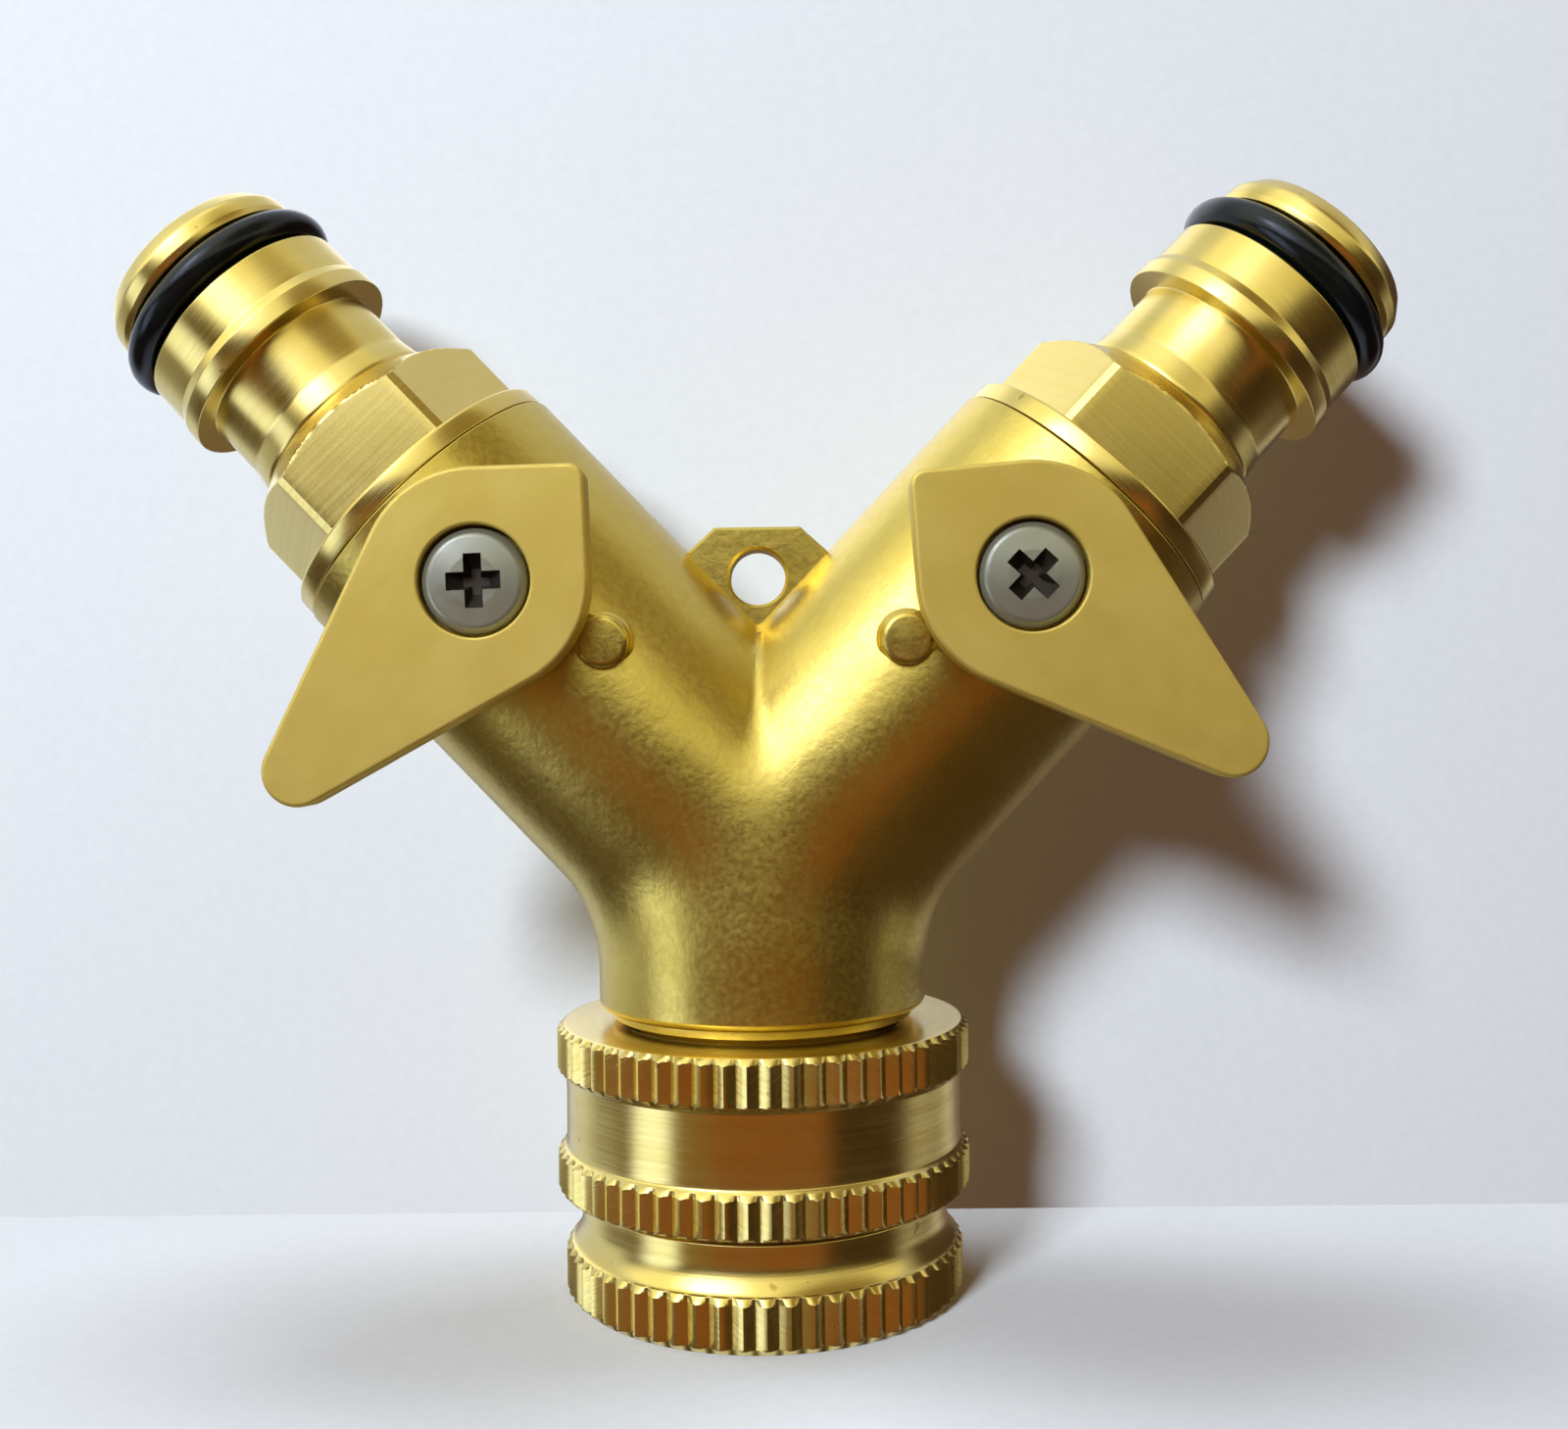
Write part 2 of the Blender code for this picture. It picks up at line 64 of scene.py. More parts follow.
# ---------------------------------------------------------------- shader helper
class Nodes:
    def __init__(self, name, world=None):
        if world is None:
            self.mat = bpy.data.materials.new(name)
            self.mat.use_nodes = True
            self.tree = self.mat.node_tree
        else:
            self.mat = world
            world.use_nodes = True
            self.tree = world.node_tree
        self.tree.nodes.clear()

    def add(self, kind, props=None, **sockets):
        n = self.tree.nodes.new(kind)
        for k, v in (props or {}).items():
            setattr(n, k, v)
        for k, v in sockets.items():
            self.put(n, k, v)
        return n

    def put(self, n, key, v):
        if isinstance(key, str) and key.startswith("i") and key[1:].isdigit():
            sock = n.inputs[int(key[1:])]
        else:
            sock = n.inputs[key.replace("_", " ")] if key.replace("_", " ") in n.inputs else n.inputs[key]
        if hasattr(v, "bl_idname") and hasattr(v, "outputs"):
            self.tree.links.new(v.outputs[0], sock)
        elif isinstance(v, bpy.types.NodeSocket):
            self.tree.links.new(v, sock)
        else:
            sock.default_value = v

    def math(self, op, a, b=0.0, c=0.0, clamp=False):
        n = self.add('ShaderNodeMath', {'operation': op, 'use_clamp': clamp}, i0=a, i1=b)
        if op in ('MULTIPLY_ADD', 'SMOOTH_MIN', 'SMOOTH_MAX'):
            self.put(n, 'i2', c)
        return n.outputs[0]

    def ramp(self, v, lo, hi, a=0.0, b=1.0, smooth=True):
        n = self.add('ShaderNodeMapRange', {'interpolation_type': 'SMOOTHSTEP' if smooth else 'LINEAR'},
                     Value=v, From_Min=lo, From_Max=hi, To_Min=a, To_Max=b)
        return n.outputs[0]

    def noise(self, vec, scale, detail=3.0, rough=0.55):
        n = self.add('ShaderNodeTexNoise', None, Vector=vec, Scale=scale, Detail=detail, Roughness=rough)
        return n.outputs[0]

    def mix(self, f, a, b):
        n = self.add('ShaderNodeMix', {'data_type': 'RGBA'})
        self.put(n, 'i0', f)
        self.put(n, 'i6', a)
        self.put(n, 'i7', b)
        return n.outputs[2]

    def bump(self, h, dist, strength=1.0, normal=None):
        n = self.add('ShaderNodeBump', None, Height=h, Distance=dist, Strength=strength)
        if normal is not None:
            self.put(n, 'Normal', normal)
        return n.outputs[0]


def obj_coords(t):
    return t.add('ShaderNodeTexCoord').outputs['Object']


def scaled(t, vec, s):
    return t.add('ShaderNodeVectorMath', {'operation': 'MULTIPLY'}, i0=vec, i1=s).outputs[0]


def cast_brass():
    """Tumbled casting: fine sand grain, soft waves, a few small dark pits."""
    t = Nodes("cast_brass")
    co = obj_coords(t)
    fine = t.noise(co, 2600.0, 2.0, 0.6)
    mid = t.noise(co, 1050.0, 3.0, 0.6)
    big = t.noise(co, 110.0, 3.0, 0.5)
    vor = t.add('ShaderNodeTexVoronoi', {'feature': 'F1'}, Vector=co, Scale=330.0, Randomness=1.0)
    pit = t.ramp(vor.outputs['Distance'], 0.05, 0.12, 1.0, 0.0)
    pick = t.ramp(t.noise(co, 150.0, 1.0), 0.74, 0.78)
    pits = t.math('MULTIPLY', pit, pick)
    col = t.mix(t.ramp(big, 0.32, 0.68), (0.715, 0.550, 0.108, 1), (0.775, 0.610, 0.142, 1))
    col = t.mix(t.ramp(mid, 0.30, 0.75, 0.0, 0.30), col, (0.66, 0.475, 0.085, 1))
    col = t.mix(t.math('MULTIPLY', pits, 0.85), col, (0.16, 0.08, 0.02, 1))
    rough = t.ramp(fine, 0.25, 0.75, 0.285, 0.38)
    h = t.math('ADD', t.math('MULTIPLY', fine, 0.5), t.math('MULTIPLY', mid, 1.0))
    h = t.math('SUBTRACT', h, t.math('MULTIPLY', pits, 1.2))
    nrm = t.bump(h, 0.000032, 0.75)
    nrm = t.bump(big, 0.00040, 0.30, nrm)
    b = t.add('ShaderNodeBsdfPrincipled', None, Base_Color=col, Metallic=1.0, Roughness=rough, Normal=nrm)
    o = t.add('ShaderNodeOutputMaterial')
    t.tree.links.new(b.outputs[0], o.inputs[0])
    return t.mat


def turned_brass(name="turned_brass", faces=True, a=(0.84, 0.640, 0.165, 1), c=(0.90, 0.720, 0.235, 1), rough0=0.16, rough1=0.28,
                 depth=0.000018, aniso=0.55):
    """Fine rings round local z, on faces as well as on walls."""
    t = Nodes(name)
    co = obj_coords(t)
    s = t.add('ShaderNodeSeparateXYZ', None, Vector=co)
    r = t.math('SQRT', t.math('ADD', t.math('MULTIPLY', s.outputs[0], s.outputs[0]),
                              t.math('MULTIPLY', s.outputs[1], s.outputs[1])))
    w = t.math('ADD', s.outputs[2], r) if faces else s.outputs[2]
    comb = t.add('ShaderNodeCombineXYZ', None, X=t.math('MULTIPLY', s.outputs[0], 14.0),
                 Y=t.math('MULTIPLY', s.outputs[1], 14.0), Z=t.math('MULTIPLY', w, 2600.0))
    line = t.noise(comb.outputs[0], 1.0, 5.0, 0.72)
    comb2 = t.add('ShaderNodeCombineXYZ', None, X=t.math('MULTIPLY', s.outputs[0], 6.0),
                  Y=t.math('MULTIPLY', s.outputs[1], 6.0), Z=t.math('MULTIPLY', w, 520.0))
    wide = t.noise(comb2.outputs[0], 1.0, 2.0, 0.5)
    stain = t.noise(co, 160.0, 4.0, 0.6)
    tone = t.ramp(t.math('ADD', t.math('MULTIPLY', wide, 0.6), t.math('MULTIPLY', stain, 0.4)), 0.35, 0.65)
    col = t.mix(tone, a, c)
    spot = t.ramp(t.noise(co, 700.0, 2.0), 0.72, 0.76)
    col = t.mix(t.math('MULTIPLY', spot, 0.5), col, (0.35, 0.20, 0.05, 1))
    rough = t.ramp(t.math('ADD', t.math('MULTIPLY', line, 0.6), t.math('MULTIPLY', stain, 0.4)), 0.3, 0.7, rough0, rough1)
    h = t.math('ADD', line, t.math('MULTIPLY', wide, 0.6))
    nrm = t.bump(h, depth, 1.0)
    tan = t.add('ShaderNodeTangent', {'direction_type': 'RADIAL', 'axis': 'Z'})
    b = t.add('ShaderNodeBsdfPrincipled', None, Base_Color=col, Metallic=1.0, Roughness=rough, Normal=nrm,
              Anisotropic=aniso, Anisotropic_Rotation=0.25, Tangent=tan)
    o = t.add('ShaderNodeOutputMaterial')
    t.tree.links.new(b.outputs[0], o.inputs[0])
    return t.mat


def plate_brass():
    t = Nodes("satin_plate_brass")
    co = obj_coords(t)
    fine = t.noise(co, 3000.0, 3.0, 0.65)
    mid = t.noise(co, 620.0, 4.0, 0.6)
    big = t.noise(scaled(t, co, (1.0, 1.0, 1.6)), 120.0, 4.0, 0.55)
    col = t.mix(t.ramp(big, 0.32, 0.70), (0.715, 0.540, 0.115, 1), (0.785, 0.610, 0.148, 1))
    rub = t.ramp(t.noise(co, 210.0, 3.0), 0.60, 0.72)
    col = t.mix(t.math('MULTIPLY', rub, 0.3), col, (0.68, 0.49, 0.125, 1))
    rough = t.ramp(mid, 0.25, 0.75, 0.50, 0.60)
    h = t.math('ADD', t.math('MULTIPLY', fine, 0.5), t.math('MULTIPLY', mid, 0.7))
    nrm = t.bump(h, 0.000016, 0.6)
    nrm = t.bump(big, 0.00012, 0.35, nrm)
    b = t.add('ShaderNodeBsdfPrincipled', None, Base_Color=col, Metallic=0.86, Roughness=rough, Normal=nrm)
    o = t.add('ShaderNodeOutputMaterial')
    t.tree.links.new(b.outputs[0], o.inputs[0])
    return t.mat


def simple(name, c0, c1, metallic, r0, r1, scale=900.0, depth=0.00001, spec=0.5):
    t = Nodes(name)
    co = obj_coords(t)
    n = t.noise(co, scale, 4.0, 0.6)
    b2 = t.noise(co, scale * 0.12, 3.0, 0.5)
    col = t.mix(t.ramp(b2, 0.35, 0.65), (*c0, 1), (*c1, 1))
    rough = t.ramp(n, 0.3, 0.7, r0, r1)
    nrm = t.bump(t.math('ADD', n, t.math('MULTIPLY', b2, 1.5)), depth, 0.8)
    b = t.add('ShaderNodeBsdfPrincipled', None, Base_Color=col, Metallic=metallic, Roughness=rough, Normal=nrm,
              Specular_IOR_Level=spec)
    o = t.add('ShaderNodeOutputMaterial')
    t.tree.links.new(b.outputs[0], o.inputs[0])
    return t.mat


CAST = cast_brass()
TURNED = turned_brass()
NOZZLE = turned_brass("turned_nozzle_brass", False, (0.83, 0.640, 0.165, 1), (0.89, 0.71, 0.225, 1), 0.20, 0.30, 0.000004, 0.5)
PLATE = plate_brass()
RUBBER = simple("black_rubber", (0.0015, 0.003, 0.003), (0.004, 0.006, 0.006), 0.0, 0.13, 0.24, 1500.0, 0.000006, spec=0.35)
WASHER = simple("washer_rubber", (0.012, 0.012, 0.013), (0.022, 0.022, 0.022), 0.0, 0.45, 0.62, 1600.0, 0.00002)
PTFE = simple("white_ptfe", (0.80, 0.80, 0.77), (0.87, 0.87, 0.85), 0.0, 0.34, 0.46, 700.0, 0.00001)
ZINC = simple("zinc_plated_steel", (0.30, 0.30, 0.225), (0.37, 0.37, 0.285), 0.70, 0.285, 0.38, 1300.0, 0.000012)
SPRING = simple("spring_steel", (0.42, 0.43, 0.44), (0.52, 0.53, 0.54), 1.0, 0.26, 0.38, 1200.0, 0.000010)
RECESS = simple("screw_recess_shadowed", (0.05, 0.042, 0.032), (0.10, 0.085, 0.065), 0.85, 0.45, 0.60, 1200.0, 0.00002)
CHROME = simple("chromed_ball", (0.74, 0.75, 0.77), (0.80, 0.81, 0.83), 1.0, 0.05, 0.12, 900.0, 0.000003)


# ---------------------------------------------------------------- mesh helpers
def make(name, verts_mm, faces, mat, matrix=Matrix(), sharp=30.0):
    me = bpy.data.meshes.new(name)
    me.from_pydata((np.asarray(verts_mm) * MM).tolist(), [], faces)
    me.validate()
    me.update()
    ob = bpy.data.objects.new(name, me)
    bpy.context.scene.collection.objects.link(ob)
    ob.matrix_world = matrix
    me.materials.append(mat)
    me.polygons.foreach_set("use_smooth", [True] * len(me.polygons))
    me.set_sharp_from_angle(angle=math.radians(sharp))
    return ob


def lathe(prof, seg, rfun=None, close=True):
    """Verts and faces of a turned solid. prof is [(r, z)], right-hand outward when it runs down outside, up inside."""
    prof = list(prof)
    th = np.arange(seg) * TAU / seg
    verts, faces, rings = [], [], []
    n = 0
    for k, (r, z) in enumerate(prof):
        if r < 1e-6:
            verts.append(np.array([[0.0, 0.0, z]]))
            rings.append((n, 1))
            n += 1
            continue
        rr = np.full(seg, float(r)) if rfun is None else np.broadcast_to(rfun(k, r, z, th), (seg,))
        verts.append(np.stack([rr * np.cos(th), rr * np.sin(th), np.full(seg, z)], -1))
        rings.append((n, seg))
        n += seg
    m = len(prof)
    on_axis = rings[0][1] == 1 and rings[-1][1] == 1
    idx = np.arange(seg)
    nxt = (idx + 1) % seg
    for k in range(m - 1 if on_axis or not close else m):
        (a, ca), (b, cb) = rings[k], rings[(k + 1) % m]
        if ca == 1 and cb == 1:
            continue
        if ca == 1:
            faces += np.stack([np.full(seg, a), b + idx, b + nxt], -1).tolist()
        elif cb == 1:
            faces += np.stack([a + nxt, a + idx, np.full(seg, b)], -1).tolist()
        else:
            faces += np.stack([a + nxt, a + idx, b + idx, b + nxt], -1).tolist()
    return np.concatenate(verts), faces


def soften(points, closed=True, n=5):
    """[(r, z, radius)] with each corner rounded."""
    out = []
    m = len(points)
    for i in range(m):
        r, z, rad = points[i] if len(points[i]) == 3 else (*points[i], 0.0)
        if rad <= 0 or (not closed and i in (0, m - 1)):
            out.append((r, z))
            continue
        p = np.array((r, z), float)
        a = np.array(points[i - 1][:2], float) - p
        b = np.array(points[(i + 1) % m][:2], float) - p
        la, lb = np.hypot(*a), np.hypot(*b)
        a, b = a / la, b / lb
        ang = math.acos(max(-1, min(1, float(a @ b))))
        d = min(rad / math.tan(ang / 2), la * 0.49, lb * 0.49)
        rr = d * math.tan(ang / 2)
        bis = a + b
        bis /= np.hypot(*bis)
        cen = p + bis * math.hypot(d, rr)
        v0, v1 = p + a * d - cen, p + b * d - cen
        t0, t1 = math.atan2(v0[1], v0[0]), math.atan2(v1[1], v1[0])
        dt = (t1 - t0 + math.pi) % TAU - math.pi
        for j in range(n + 1):
            t = t0 + dt * j / n
            out.append((cen[0] + rr * math.cos(t), cen[1] + rr * math.sin(t)))
    return out


def join(parts):
    vs, fs, n = [], [], 0
    for v, f in parts:
        vs.append(np.asarray(v, float))
        fs += [[i + n for i in g] for g in f]
        n += len(v)
    return np.concatenate(vs), fs


def box_xyz(lo, hi):
    (x0, y0, z0), (x1, y1, z1) = lo, hi
    v = np.array([(x, y, z) for x in (x0, x1) for y in (y0, y1) for z in (z0, z1)])
    f = [[0, 1, 3, 2], [4, 6, 7, 5], [0, 4, 5, 1], [2, 3, 7, 6], [0, 2, 6, 4], [1, 5, 7, 3]]
    return v, f


def spin(v, matrix):
    return np.asarray(v) @ np.array(matrix.to_3x3()).T


def tooth(i, land=0.06):
    """1 on the flat land, falling to 0 at the bottom of the V groove; 8 points a tooth."""
    p = np.abs(((np.asarray(i) / 8.0 + 0.5) % 1.0) - 0.5) * 2
    return np.clip((1.0 - p) / (1.0 - land), 0, 1)


PITCH = 1.814


def thread(z, th, crest, root, sign=1.0):
    p = (z / PITCH - sign * th / TAU) % 1.0
    tri = np.abs(p - 0.5) * 2
    tri = np.clip((tri - 0.12) / 0.76, 0, 1)
    return root + (crest - root) * tri


def runs(z0, z1, r, n):
    return [(r, z0 + (z1 - z0) * i / n) for i in range(n + 1)]


done = []


def piece(ob, body, nodes):
    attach(ob, body)
    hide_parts(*nodes)
    done.append(ob.name)
    return ob


# ---------------------------------------------------------------- thread reducer
def reducer():
    rim = soften([(14.1, 0.0, 0.25), (14.7, 0.5, 0.2), (14.7, 3.3, 0.2), (14.3, 3.78, 0.12), (14.2, 3.84, 0.0)], False, 6)
    flare = [(13.5 + 0.62 * t * t, 5.75 - 1.85 * t) for t in np.linspace(1, 0, 15)]
    outer = rim + flare + soften([(13.5, 6.4), (13.5, 6.95, 0.15), (13.3, 7.2, 0.1), (12.0, 7.25)], False, 5)
    male = [(12.0, 7.6)] + runs(7.9, 12.6, 12.45, 44) + [(12.1, 12.9), (11.9, 13.35), (11.6, 13.4)]
    inner = soften([(11.6, 13.4, 0), (6.9, 13.4, 0.2), (6.8, 11.3, 0), (10.4, 11.3, 0.15), (10.4, 10.2, 0)], False, 3)[1:]
    sock = runs(10.0, 0.9, 10.25, 60) + [(10.55, 0.55), (10.9, 0.12), (11.2, 0.0)]
    prof = outer + male + inner + sock
    teeth = 58
    seg = teeth * 8
    idx = np.arange(seg)
    n0, n1 = len(outer), len(outer) + len(male)
    s0 = len(outer) + len(male) + len(inner)

    def rf(k, r, z, th):
        if k < n0 and r > 14.2 and z < 3.83:
            land = 14.24 + 0.46 * tooth(idx + 2)
            return np.minimum(r, land)
        if n0 < k < n1 - 3:
            e = min(1, (z - 7.6) / 0.9, (12.9 - z) / 0.9)
            return thread(z, th, 11.9 + 0.95 * max(e, 0), 11.9)
        if k >= s0 and z > 0.6:
            e = min(1, (z - 0.6) / 0.8, (10.2 - z) / 0.8)
            return thread(z + 0.4, th, 10.5 - 0.75 * max(e, 0), 10.5)
        return np.full(seg, r)
    v, f = lathe(prof, seg, rf)
    return piece(make("thread_reducer_look", v, f, TURNED, sharp=24), "inlet", ["thread_reducer"])


reducer()
v, f = lathe(soften([(10.1, 9.15, 0.25), (10.1, 11.05, 0.25), (7.1, 11.05, 0.2), (7.1, 9.15, 0.2)]), 96)
piece(make("reducer_washer_look", v, f, WASHER), "inlet", ["reducer_washer"])


# ---------------------------------------------------------------- swivel nut
def nut():
    teeth = 62
    seg = teeth * 8
    idx = np.arange(seg)
    rt = 14.66
    outer = soften([(14.75, 7.55, 0.2), (15.25, 7.98, 0.2), (15.25, 10.35, 0.2), (14.82, 10.75, 0.12),
                    (14.60, 10.95, 0.7), (14.58, 12.5, 0.0), (14.58, 14.8, 0.0), (14.60, 16.0, 0.15),
                    (14.72, 16.15, 0.05), (15.25, 16.55, 0.2), (15.25, 19.25, 0.2),
                    (14.72, 19.7, 0.2), (10.45, 19.7, 0.2), (10.25, 19.2, 0.1), (10.2, 18.6, 0), (10.2, 17.7, 0)], True, 6)
    inner = [(13.5, 17.7)] + runs(17.2, 8.5, 13.4, 72) + [(13.6, 8.1), (13.9, 7.6), (14.1, 7.55)]
    prof = outer + inner
    n0 = len(outer)

    def rf(k, r, z, th):
        if k < n0 and r > rt and (z < 10.8 or z > 16.1):
            land = 14.79 + 0.46 * tooth(idx)
            return np.minimum(r, land)
        if k > n0 and 8.2 < z < 17.3:
            e = min(1, (z - 8.2) / 0.9, (17.3 - z) / 0.9)
            return thread(z, th, 13.62 - 0.55 * max(e, 0), 13.62)
        return np.full(seg, r)
    v, f = lathe(prof, seg, rf)
    return piece(make("swivel_nut_look", v, f, TURNED, sharp=24), "nut", ["swivel_nut"])


nut()
v, f = lathe(soften([(12.3, 13.65, 0.3), (12.3, 15.15, 0.3), (7.9, 15.15, 0.2), (7.9, 13.65, 0.2)]), 96)
piece(make("inlet_washer_look", v, f, WASHER), "nut", ["inlet_washer"])


def snap_ring():
    n = 150
    gap = 1.25 / 10.2
    sec = soften([(9.1, 16.0, 0.12), (11.4, 16.0, 0.12), (11.4, 16.9, 0.12), (9.1, 16.9, 0.12)], True, 3)
    m = len(sec)
    verts, faces = [], []
    for i in range(n):
        a = math.pi / 2 + gap + (TAU - 2 * gap) * i / (n - 1)
        verts += [(r * math.cos(a), r * math.sin(a), z) for r, z in sec]
    for i in range(n - 1):
        for j in range(m):
            k = (j + 1) % m
            faces.append([i * m + j, (i + 1) * m + j, (i + 1) * m + k, i * m + k])
    faces.append(list(range(m)))
    faces.append([(n - 1) * m + j for j in reversed(range(m))])
    return np.array(verts), faces


v, f = snap_ring()
piece(make("nut_retaining_ring_look", v, f, SPRING), "splitter", ["nut_retaining_ring"])


# ---------------------------------------------------------------- cast body
def smin(a, b, k):
    h = np.maximum(k - np.abs(a - b), 0) / k
    return np.minimum(a, b) - h * h * k * 0.25


def smax(a, b, k):
    return -smin(-a, -b, k)


def step(x, a, b):
    t = np.clip((x - a) / (b - a), 0, 1)
    return t * t * (3 - 2 * t)


def capped(perp, s, r, s0, s1, rd=0.0):
    qx = perp - (r - rd)
    qy = np.abs(s - (s0 + s1) / 2) - ((s1 - s0) / 2 - rd)
    return np.hypot(np.maximum(qx, 0), np.maximum(qy, 0)) + np.minimum(np.maximum(qx, qy), 0) - rd


def body_sdf(x, y, z):
    """Two arms running into one neck; everything else is added or cut afterwards."""
    arms = {}
    for k in (-1, 1):
        s = k * x * SA + (z - JZ) * CA
        t = k * x * CA - (z - JZ) * SA          # + on the outer side
        arms[k] = (s, t, np.hypot(t, y))
    dl, dr = (capped(arms[k][2], arms[k][0], 11.63, -3.2, 36.5, 0.2) for k in (-1, 1))
    rz = np.hypot(x, y)
    rs = np.maximum(rz, 1e-3)
    pl, pr = np.maximum(arms[-1][2], 1e-3), np.maximum(arms[1][2], 1e-3)
    tl, tr = arms[-1][1] / pl, arms[1][1] / pr
    same = tl * tr * (SA * SA - CA * CA) + y * y / (pl * pr)
    kz = 0.3 + (0.25 + 4.2 * step(-z, -44.5, -35.0)) * np.clip(1.25 * (1 - same), 0, 1)
    d = smin(dl, dr, kz)
    nr = 12.1 - 0.55 * step(z, 26.5, 33.5)
    neck = capped(rz, z, 12.1, 14.8, 33.6, 0.3) + (12.1 - nr)
    nearer = np.where(x < 0, tl, tr)
    meet = CA * nearer * np.abs(x) / rs + y * y / (np.where(x < 0, pl, pr) * rs)
    kn = 0.4 + 6.0 * np.clip(1.6 * (1 - meet), 0, 1)
    return smin(d, neck, kn)


def surface_nets(fn, lo, hi, h):
    ax = [np.arange(l, u + h, h) for l, u in zip(lo, hi)]
    X, Y, Z = np.meshgrid(*ax, indexing='ij')
    D = fn(X, Y, Z).astype(np.float64)
    inside = D < 0
    nx, ny, nz = D.shape
    corners = [(i, j, k) for i in (0, 1) for j in (0, 1) for k in (0, 1)]
    cnt = sum(inside[i:nx - 1 + i, j:ny - 1 + j, k:nz - 1 + k].astype(np.int8) for i, j, k in corners)
    act = (cnt > 0) & (cnt < 8)
    idx = -np.ones(act.shape, dtype=np.int64)
    ci, cj, ck = np.nonzero(act)
    idx[ci, cj, ck] = np.arange(len(ci))
    acc = np.zeros((len(ci), 3))
    num = np.zeros(len(ci))
    for a, b in [(a, b) for a in range(8) for b in range(a + 1, 8)
                 if sum(abs(p - q) for p, q in zip(corners[a], corners[b])) == 1]:
        pa, pb = corners[a], corners[b]
        da = D[ci + pa[0], cj + pa[1], ck + pa[2]]
        db = D[ci + pb[0], cj + pb[1], ck + pb[2]]
        m = (da < 0) != (db < 0)
        t = np.where(m, da / np.where(m, da - db, 1), 0)
        for c in range(3):
            acc[:, c] += np.where(m, pa[c] + t * (pb[c] - pa[c]), 0)
        num += m
    base = np.stack([ax[0][ci], ax[1][cj], ax[2][ck]], -1)
    V = base + acc / num[:, None] * h
    faces = []
    for axis in range(3):
        sl0 = [slice(None)] * 3
        sl1 = [slice(None)] * 3
        sl0[axis] = slice(0, -1)
        sl1[axis] = slice(1, None)
        a, b = inside[tuple(sl0)], inside[tuple(sl1)]
        e = a != b
        i, j, k = np.nonzero(e)
        u, w = [(1, 2), (2, 0), (0, 1)][axis]
        g = np.stack([i, j, k], -1)
        ok = (g[:, u] > 0) & (g[:, w] > 0) & (g[:, u] < D.shape[u] - 1) & (g[:, w] < D.shape[w] - 1)
        g = g[ok]
        flip = a[g[:, 0], g[:, 1], g[:, 2]]
        q = []
        for du, dw in ((0, 0), (1, 0), (1, 1), (0, 1)):
            c = g.copy()
            c[:, u] -= du
            c[:, w] -= dw
            q.append(idx[c[:, 0], c[:, 1], c[:, 2]])
        q = np.stack(q, -1)
        q = np.where(flip[:, None], q, q[:, ::-1])
        faces.append(q)
    F = np.concatenate(faces)
    # settle every vertex on the surface
    for _ in range(3):
        e = 0.02
        d0 = fn(V[:, 0], V[:, 1], V[:, 2])
        g = np.stack([fn(V[:, 0] + e, V[:, 1], V[:, 2]) - d0, fn(V[:, 0], V[:, 1] + e, V[:, 2]) - d0,
                      fn(V[:, 0], V[:, 1], V[:, 2] + e) - d0], -1) / e
        gl = np.maximum((g * g).sum(-1), 0.25)
        stepv = np.clip(d0 / gl, -h * 0.5, h * 0.5)[:, None] * g
        V = V - stepv
    return V, F


H = 0.42
V, F = surface_nets(body_sdf, (-36.0, -13.4, 14.0), (36.0, 13.4, 68.0), H)
# let the three walls run together softly where they meet in front and behind
near = np.clip(1.6 - np.sqrt((V[:, 0] / 7.0) ** 2 + ((np.abs(V[:, 1]) - 12.3) / 4.5) ** 2 + ((V[:, 2] - 31.0) / 6.5) ** 2), 0, 1)
ends = np.concatenate([F[:, [0, 1]], F[:, [1, 2]], F[:, [2, 3]], F[:, [3, 0]]])
count = np.bincount(ends[:, 0], minlength=len(V)) + np.bincount(ends[:, 1], minlength=len(V))
for _ in range(int(24 / H)):
    mean = np.stack([np.bincount(ends[:, 0], V[ends[:, 1], c], len(V)) + np.bincount(ends[:, 1], V[ends[:, 0], c], len(V))
                     for c in range(3)], -1) / np.maximum(count, 1)[:, None]
    V = V + (0.6 * near)[:, None] * (mean - V)
print("core", len(V), len(F))
body = make("y_body_look", V, F.tolist(), CAST, sharp=50)


def solid(name, v, f, matrix=Matrix(), mat=None):
    """A closed piece, faces turned outward, to add to another or to cut it with."""
    ob = make(name, v, f, mat or CAST, matrix)
    bm = bmesh.new()
    bm.from_mesh(ob.data)
    bmesh.ops.recalc_face_normals(bm, faces=bm.faces)
    bm.to_mesh(ob.data)
    bm.free()
    return ob


def carve(ob, other, operation, solver='MANIFOLD'):
    """Apply one boolean and drop the other piece."""
    bpy.context.view_layer.update()
    for way in (solver, 'EXACT'):
        md = ob.modifiers.new("carve", 'BOOLEAN')
        md.operation = operation
        md.solver = way
        md.material_mode = 'TRANSFER'
        md.object = other
        bpy.context.view_layer.update()
        new = bpy.data.meshes.new_from_object(ob.evaluated_get(bpy.context.evaluated_depsgraph_get()))
        ob.modifiers.clear()
        n0, n1 = len(ob.data.vertices), len(new.vertices)
        if n1 and n1 != n0:
            ob.data = new
            break
        print("carve", other.name, way, "changed nothing")
    bpy.data.objects.remove(other, do_unlink=True)


